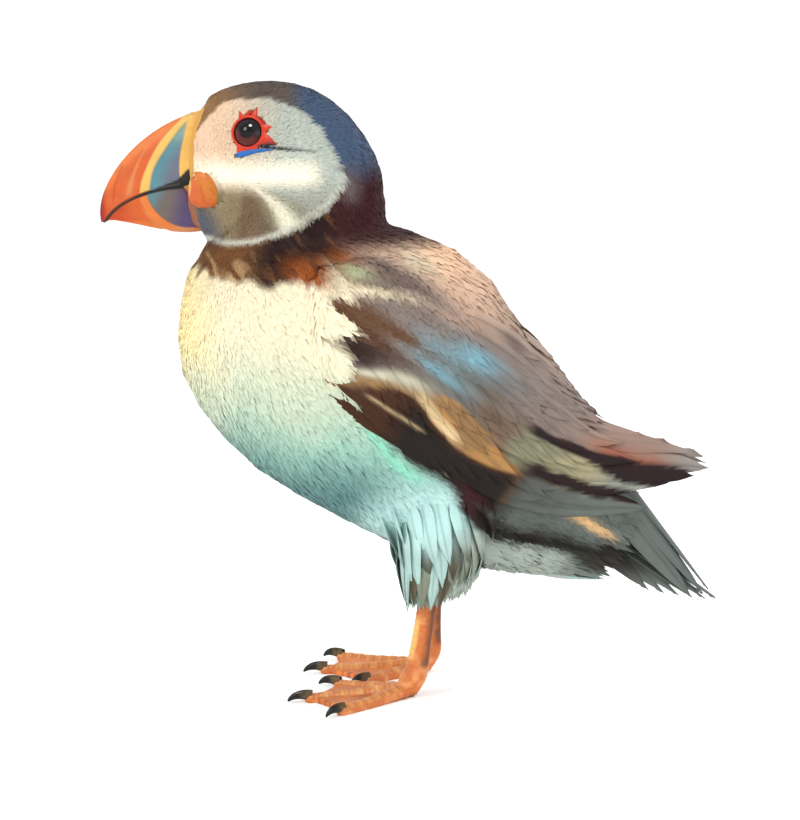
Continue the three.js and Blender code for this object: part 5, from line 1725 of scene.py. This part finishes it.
def make_tail(surface):
    """Twelve tail feathers fanned a little, as in the CAD part, and the long coverts at their roots."""
    sets = []
    t = np.linspace(0, 1, VANE_ROWS)
    for sign in (1, -1):
        out = np.arange(RECTRICES) + 0.5
        length = TAIL_TO - TAIL_FROM - 2.9 * out**1.25
        spread = (0.35 + 0.65 * t) * 2.4 * out[:, None]
        droop = 1.35 * out[:, None] * (0.5 + 0.5 * t) + 0.32 * (out[:, None] - 0.5)
        at = TAIL_FROM + length[:, None] * t
        up = 5 * (1 - t) - droop
        spots = AXIS_START + AXIS_BACK * at[..., None] + AXIS_UP * up[..., None]
        spots[..., 0] += sign * spread
        lean = 0.16 * out
        normal = np.stack([sign * np.sin(lean), 0 * lean, 0 * lean], -1) + AXIS_UP * np.cos(lean)[:, None]
        normals = np.broadcast_to(unit(normal)[:, None], spots.shape)
        rise = np.zeros((RECTRICES, VANE_ROWS))
        sets.append(
            vane_set(spots, normals, 9.8, 0.8, rise, sign * 0.04, tail_colour, -0.1 * sign, 0.03)
        )
    sets += [tail_coverts(surface, 5, tail_colour, 1, *numbers) for numbers in COVERTS_OVER]
    sets += [tail_coverts(surface, 4, undertail_colour, -1, *numbers) for numbers in COVERTS_UNDER]
    big_vanes("tail_feathers", sets, FLIGHT, 0.4, replaces=["tail"])


# ---------------------------------------------------------------- the thighs' long locks

# Rows of locks round the thigh: count, roots' height, tips' height, half sizes at the roots, and at the
# tips with how far back their middle lies.
LOCK_ROWS = (
    (17, 58, 31, (11.5, 11.5), (7.4, 7.2, 7.4)),
    (17, 66, 38, (13.0, 13.5), (9.4, 10.2, 11.2)),
    (16, 74, 46, (14.0, 16.0), (11.4, 13.4, 15.0)),
)
LOCK_COLOURS = (
    srgb(166, 198, 192), srgb(128, 158, 150), srgb(88, 84, 66),
    srgb(152, 184, 178), srgb(118, 124, 106), srgb(70, 60, 42),
)


def lock_colour(points, number, beside):
    """Each lock has its own tint low down, and the marking's own colour at its root, with painted shade at
    its sides near the tip.
    """
    z = points[..., 2]
    own = np.array(LOCK_COLOURS)[(number * 5 + number // 3) % len(LOCK_COLOURS)]
    flat = plumage_colour(points.reshape(-1, 3)).reshape(points.shape)
    colour = mix(flat, own, 0.95 * fall(z + 4 * noise(points, 5, 88), 42, 61))
    # Painted shade at the sides of the locks near their tips, between neighbours.
    return mix(colour, HEM_SHADE, 0.6 * fall(z, 32, 46) * ramp(np.abs(beside), 0.2, 0.9))


def make_thigh_locks(surface, side, sign):
    """Big pointed locks hanging round the thigh's lower part."""
    sets = []
    t = np.linspace(0, 1, VANE_ROWS)
    for count, high, low, wide, narrow in LOCK_ROWS:
        turn = (np.arange(count) + rng.uniform(-0.2, 0.2, count)) / count * 2 * math.pi
        round_it = np.stack([np.cos(turn), np.sin(turn), 0 * turn], 1)
        middle = np.array([sign * LEG_X, 9.5, 0])
        roots = middle + round_it * [*wide, 0] + [0, 0, high]
        roots, out = surface.nearest(roots)
        outer = (out * round_it).sum(1) > 0.1
        tips = middle * [1, 0, 0] + [0, narrow[2], 0] + round_it * [narrow[0], narrow[1], 0]
        tips[:, 2] = low + 0.22 * (tips[:, 1] - 5) + rng.uniform(-2, 2, count)
        lines = roots[:, None] * (1 - t[:, None]) + tips[:, None] * t[:, None]
        swell = (1.1 + 0.8 * round_it[:, 1:2]) * np.sin(math.pi * t) - 2.6 * (1 - t) ** 2.5
        lines = lines + round_it[:, None] * swell[..., None]
        normals = np.broadcast_to(unit(round_it + [0, 0, 0.25])[:, None], lines.shape)
        rise = np.full((count, VANE_ROWS), 0.2) + rng.uniform(0, 0.5, (count, 1))
        sets.append(
            vane_set(lines[outer], normals[outer], 6.8, 0.85, rise[outer], 0.03, lock_colour, 0, 0.05)
        )
    big_vanes(f"thigh_locks_{side}", sets, PLUMAGE, 0.2)


# ---------------------------------------------------------------- legs and feet

FOOT_STEP = 5.0  # how far one foot stands ahead of the other
ANKLE = np.array([17.0, 5.3, 8.8])
FOOT_TURN = {"left": 12, "right": -6}  # outward, in degrees
# Outward turn in degrees, length, radius and number of joints.
TOES = {"outer": (36, 34, 2.75, 4), "middle": (2, 35, 2.85, 3), "inner": (-36, 27, 2.5, 2)}
CLAW_LENGTH, CLAW_RADIUS = 8.0, 1.75
LEG_VOXEL = 0.45
TUBE_COLUMNS, CLAW_COLUMNS = 20, 24

LEG_ORANGE = srgb(200, 112, 56)
LEG_PEACH = srgb(224, 148, 92)
LEG_YELLOW = srgb(244, 196, 112)
LEG_RUST = srgb(146, 72, 32)
LEG_BROWN = srgb(84, 54, 38)
WEB_BROWN = srgb(232, 132, 66)
SOLE = srgb(120, 70, 46)
CLAW_BLACK = srgb(26, 22, 20)
CLAW_BROWN = srgb(92, 74, 48)


def tube(path, across, deep, side, up):
    """A closed tube of elliptical section along path, as (points, faces) for a remesh."""
    points = rings(path, side, across, up, deep, TUBE_COLUMNS).reshape(-1, 3)
    quads = strip_quads(len(path), TUBE_COLUMNS, closed=True)
    size = len(points)
    ends = [list(range(TUBE_COLUMNS))[::-1], list(range(size - TUBE_COLUMNS, size))]
    return points.tolist(), outward(points, quads).tolist() + ends


def foot_frame(side, sign):
    """A foot's ankle, the place where its toes meet, and the ways that they point."""
    step = -sign * FOOT_STEP / 2
    ankle = ANKLE * [sign, 1, 1] + [0, step, 0]
    joint = np.array([ankle[0], ankle[1] - 2.4, 0])
    ways = {}
    for name, (turn, *_) in TOES.items():
        angle = math.radians(turn + FOOT_TURN[side])
        ways[name] = np.array([sign * math.sin(angle), -math.cos(angle), 0])
    return ankle, joint, ways


def toe_line(joint, way, length, radius, joints):
    """A toe's middle line with its half sizes, swollen at its joints."""
    s = np.linspace(0, 1, 40)
    knuckle = 0.26 * np.cos(2 * math.pi * joints * s) ** 2 - 0.08
    across = radius + (1.9 - radius) * s + knuckle
    path = joint + way * (length * s)[:, None]
    rise = 2.4 + (1.15 - 2.4) * np.clip(1.6 * s, 0, 1)
    path[:, 2] = rise
    return path, across


def leg_parts(side, sign):
    ankle, joint, ways = foot_frame(side, sign)
    level = np.array([0, 0, 1.0])
    parts = []
    top = np.array([sign * 16.3, 9.4, 50.0])
    t = np.linspace(0, 1, 30)
    path = ankle + (top - ankle) * t[:, None]
    ends = 0.9 * (1 - t) ** 4 + 1.1 * t**2.5
    x_way, y_way = np.array([1.0, 0, 0]), np.array([0, 1.0, 0])
    parts.append(tube(path, 2.45 + ends, 3.05 + ends, x_way, y_way))
    heel = joint + [0, -1, 0.6]
    path = heel + (ankle + [0, 0.3, 1.5] - heel) * t[:, None]
    bulge = 1.3 * np.sin(2.9 * t)
    parts.append(tube(path, 2.9 + bulge, 3.4 + bulge, x_way, y_way))
    for name, (_, length, radius, joints) in TOES.items():
        path, across = toe_line(joint, ways[name], length, radius, joints)
        side_way = np.cross(level, ways[name])
        parts.append(tube(path, across, across * 0.96, side_way, level))
        tip = path[-1] + ways[name] * np.linspace(-1.5, 1.3, 10)[:, None]
        closing = 1.75 * np.sqrt(np.maximum(1 - np.linspace(-0.6, 0.98, 10) ** 2, 0.03))
        parts.append(tube(tip, closing, closing * 0.85, side_way, level))
    parts.append(web_plate(joint, ways))
    return parts


def web_plate(joint, ways):
    """The web between the toes: its front edges curve in, and it is thinnest there."""
    ends = [joint + ways[name] * TOES[name][1] * 0.97 for name in TOES]
    edge = []
    for start, end in zip(ends, ends[1:]):
        middle = ((start + end) / 2) * 0.93 + joint * 0.07
        s = np.linspace(0, 1, 14)[:-1, None]
        edge.append((1 - s) ** 2 * start + 2 * s * (1 - s) * middle + s * s * end)
    edge = np.concatenate([*edge, ends[-1:]])
    heel = joint - ways["middle"] * 1.5
    outline = np.concatenate([edge, heel[None]])
    low, high = outline.copy(), outline.copy()
    low[:, 2], high[:, 2] = 0.0, 1.9
    size = len(outline)
    hub = [joint * [1, 1, 0], joint * [1, 1, 0] + [0, 0, 2.2]]
    points = np.concatenate([low, high, hub])
    faces = []
    for i in range(size):
        j = (i + 1) % size
        faces += [[i, j, size + j, size + i], [j, i, 2 * size], [size + i, size + j, 2 * size + 1]]
    return points.tolist(), faces


def shin_marks(z, normals, grain, colour):
    """(how far the surface stands out, colour) on the shin: plates in front, and rust and brown behind as
    painted shade.
    """
    shin = ramp(z, 9, 12)
    front = ramp(-normals[:, 1], 0.25, 0.6) * shin
    plates = np.abs(np.sin(math.pi * z / 2.1)) ** 0.5
    behind = normals[:, 1] + 0.2 * grain
    # Painted shade: rust, then brown, on the side of the shin that faces back.
    colour = mix(colour, LEG_RUST, ramp(behind, -0.1, 0.5) * shin * 0.75)
    colour = mix(colour, LEG_BROWN, ramp(behind, 0.3, 0.75) * shin * 0.7)
    streak = front * inside(z, 13, 27, 3) * ramp(grain + 0.8, -0.2, 0.4)
    colour = mix(colour, LEG_YELLOW, 0.85 * streak)
    colour = mix(colour, LEG_BROWN, 0.75 * ramp(z + 3 * grain, 26, 36))
    return front * (0.2 * plates - 0.12), mix(colour, LEG_RUST, 0.3 * front * (1 - plates))


def toe_marks(points, normals, joint, way, toe, colour):
    """(how much places belong to a toe, how far its scutes stand out, colour)."""
    _, length, radius, joints = toe
    local = points - joint
    along = local @ way
    beside = np.abs(local @ np.cross([0, 0, 1.0], way))
    on_toe = fall(beside, radius * 0.8, radius * 1.15) * ramp(along, 3, 8)
    scute = np.abs(np.sin(math.pi * along / 1.75)) ** 0.5
    over = on_toe * ramp(normals[:, 2], 0.3, 0.7) * fall(points[:, 2], 7, 9)
    colour = mix(colour, LEG_PEACH, 0.6 * over * scute)
    colour = mix(colour, LEG_RUST, 0.3 * over * (1 - scute))
    knuckle = np.cos(2 * math.pi * joints * along / length) ** 8
    return on_toe, over * (0.16 * scute - 0.1), mix(colour, LEG_YELLOW, 0.35 * over * knuckle)


def web_marks(points, joint, web, colour):
    """(how far the surface stands out, colour) on the web, whose veins fan out from the toes' root."""
    x, y, _ = points.T
    veins = np.abs(np.sin(np.degrees(np.arctan2(x - joint[0], joint[1] - y)) * 0.55))
    tone = mix(WEB_BROWN, LEG_RUST, 0.5 * ramp(noise(points, 4, 93) + 0.5 * veins, 0, 1))
    colour = mix(mix(colour, tone, web), LEG_BROWN, 0.35 * web * ramp(veins, 0.75, 1))
    return web * (0.1 * noise(points, 1.6, 94) + 0.06 * veins), colour


def leg_shape(points, quads, side, sign):
    """The leg with scutes on its shin and toes, and its colours."""
    _, joint, ways = foot_frame(side, sign)
    normals = vertex_normals(points, quads)
    z = points[:, 2]
    grain = noise(points, 2.4, 92)
    shin, colour = shin_marks(z, normals, grain, mix(LEG_ORANGE, LEG_PEACH, ramp(grain, -0.2, 0.8)))
    out = 0.06 * noise(points, 1.1, 91) + shin
    web = np.ones(len(points))
    for name, toe in TOES.items():
        on_toe, scutes, colour = toe_marks(points, normals, joint, ways[name], toe, colour)
        out += scutes
        web = web * (1 - on_toe)
    veins, colour = web_marks(points, joint, web * fall(z, 2.1, 3.0), colour)
    out += veins
    colour = mix(colour, SOLE, ramp(-normals[:, 2], 0.4, 0.8) * fall(z, 1, 2.5))
    points = points + normals * out[:, None]
    points[:, 2] = np.where(z < 0.4, 0, np.maximum(points[:, 2], 0))
    return points, colour


def make_claw(side, name, joint, way, length, material):
    t = np.linspace(0, 1, 26)[:, None]
    start = joint + way * (length - 1)
    a, b, c = (start + way * CLAW_LENGTH * s + [0, 0, z] for s, z in ((0, 2.15), (0.7, 3.6), (1, 0.62)))
    path = (1 - t) ** 2 * a + 2 * t * (1 - t) * b + t * t * c
    across = np.cross([0, 0, 1.0], way)
    ways = unit(np.gradient(path, axis=0))
    up = unit(np.cross(ways, np.broadcast_to(across, ways.shape)))
    up *= np.sign(up[:, 2:])
    radius = CLAW_RADIUS * (1 - t[:, 0]) ** 0.62 + 0.12
    grid = rings(path, across * 0.82, radius, up, radius, CLAW_COLUMNS, keel=0.12)
    grid = np.concatenate([grid, np.repeat(grid[-1:].mean(1, keepdims=True), CLAW_COLUMNS, 1)])
    grid[..., 2] = np.maximum(grid[..., 2], 0.02)
    share = np.append(t[:, 0], 1.0)[:, None]
    colour = mix(CLAW_BROWN, CLAW_BLACK, ramp(share + 0.15 * noise(grid, 1.2, 97), 0.1, 0.5))
    shell_piece(f"claw_horn_{name}_{side}", grid, material, "claw", colour, f"claw_{name}_{side}")


def make_legs():
    skin = flesh_material("leg_skin", 0.4, 900.0, 0.12)
    horn = horn_material("claw_horn", 0.34, 0.1, 1500.0)
    for side, sign in SIDES:
        points, quads = remeshed(leg_parts(side, sign), LEG_VOXEL)
        points = relaxed(points, quads, 4)
        points, colour = leg_shape(points, quads, side, sign)
        nodes = [f"tarsus_{side}", f"foot_{side}"]
        new_object(f"leg_{side}", points, quads, skin, colour, nodes)
        _, joint, ways = foot_frame(side, sign)
        for name, (_, length, _, _) in TOES.items():
            make_claw(side, name, joint, ways[name], length, horn)


for side_name, side_sign in SIDES:
    make_wing(side_name, side_sign)
    make_thigh_locks(form_surface, side_name, side_sign)
make_tail(form_surface)
make_legs()


# ---------------------------------------------------------------- stage

CAMERA_PLACE = (0.91977, -0.00278, 0.23269)
CAMERA_AIM = (0.0, -0.00278, 0.09523)
LENS = 120.3
FLOOR_GLOW = 0.24
WALL_GLOW = 0.5
WALL_SIDES, WALL_RADIUS, WALL_HIGH = 48, 13.0, 4.3
SKY = 0.8
LIGHT_AIM = (0, 0, 0.1)
GLINT = "catch"  # the light that only shows as a glint
# Name, place, power, diameter and colour.
LIGHTS = (
    ("key", (0.75, -0.85, 0.95), 6.5, 0.5, (1.0, 0.97, 0.92)),
    ("fill", (0.9, 0.75, 0.5), 2.2, 0.8, (0.94, 0.97, 1.0)),
    ("rim", (-0.6, 0.7, 0.9), 4.0, 0.5, (1, 1, 1)),
    (GLINT, (0.64, -0.19, 1.33), 22.0, 0.38, (1, 1, 1)),
)


def aimed(obj, place, aim):
    obj.location = place
    way = np.array(aim) - np.array(place)
    obj.rotation_mode = "QUATERNION"
    obj.rotation_quaternion = Vector(way).to_track_quat("-Z", "Y")


def add_camera():
    data = bpy.data.cameras.new("camera")
    data.lens = LENS
    data.clip_start = 0.01
    camera = bpy.data.objects.new("camera", data)
    bpy.context.scene.collection.objects.link(camera)
    aimed(camera, CAMERA_PLACE, CAMERA_AIM)
    bpy.context.scene.camera = camera


def add_light(name, place, power, size, colour):
    data = bpy.data.lights.new(name, "AREA")
    data.shape = "DISK"
    data.size = size
    data.energy = power
    data.color = colour
    light = bpy.data.objects.new(name, data)
    light.visible_diffuse = name != GLINT
    bpy.context.scene.collection.objects.link(light)
    aimed(light, place, LIGHT_AIM)


def white_material(name, glow):
    n = Nodes(name)
    n.set(Base_Color=(0.95, 0.95, 0.95, 1), Specular_IOR_Level=0.0)
    n.set(Emission_Color=(1, 1, 1, 1), Emission_Strength=glow)
    n.set(Roughness=n.span(n.cloud(20.0), 0.85, 0.95))
    return n.material


def add_stage():
    """A plain white floor with a far round wall, white surroundings, and lights: one is the eye's glint."""
    turn = circle(WALL_SIDES)
    ring = np.stack([np.cos(turn), np.sin(turn), 0 * turn], 1)
    points = np.concatenate([ring * WALL_RADIUS, ring * WALL_RADIUS + [0, 0, WALL_HIGH]])
    walls = strip_quads(2, WALL_SIDES, closed=True).tolist()
    mesh = bpy.data.meshes.new("floor")
    mesh.from_pydata(points.tolist(), [], [list(range(WALL_SIDES)), *walls])
    mesh.materials.append(white_material("floor", FLOOR_GLOW))
    mesh.materials.append(white_material("wall", WALL_GLOW))
    for face in mesh.polygons[1:]:
        face.material_index = 1
    floor = bpy.data.objects.new("floor", mesh)
    bpy.context.scene.collection.objects.link(floor)
    world = bpy.data.worlds.new("studio")
    world.use_nodes = True
    world.node_tree.nodes["Background"].inputs["Color"].default_value = (1, 1, 1, 1)
    world.node_tree.nodes["Background"].inputs["Strength"].default_value = SKY
    bpy.context.scene.world = world
    bpy.context.scene.view_settings.view_transform = "Standard"
    for name, place, power, size, colour in LIGHTS:
        add_light(name, place, power, size, colour)


add_camera()
add_stage()
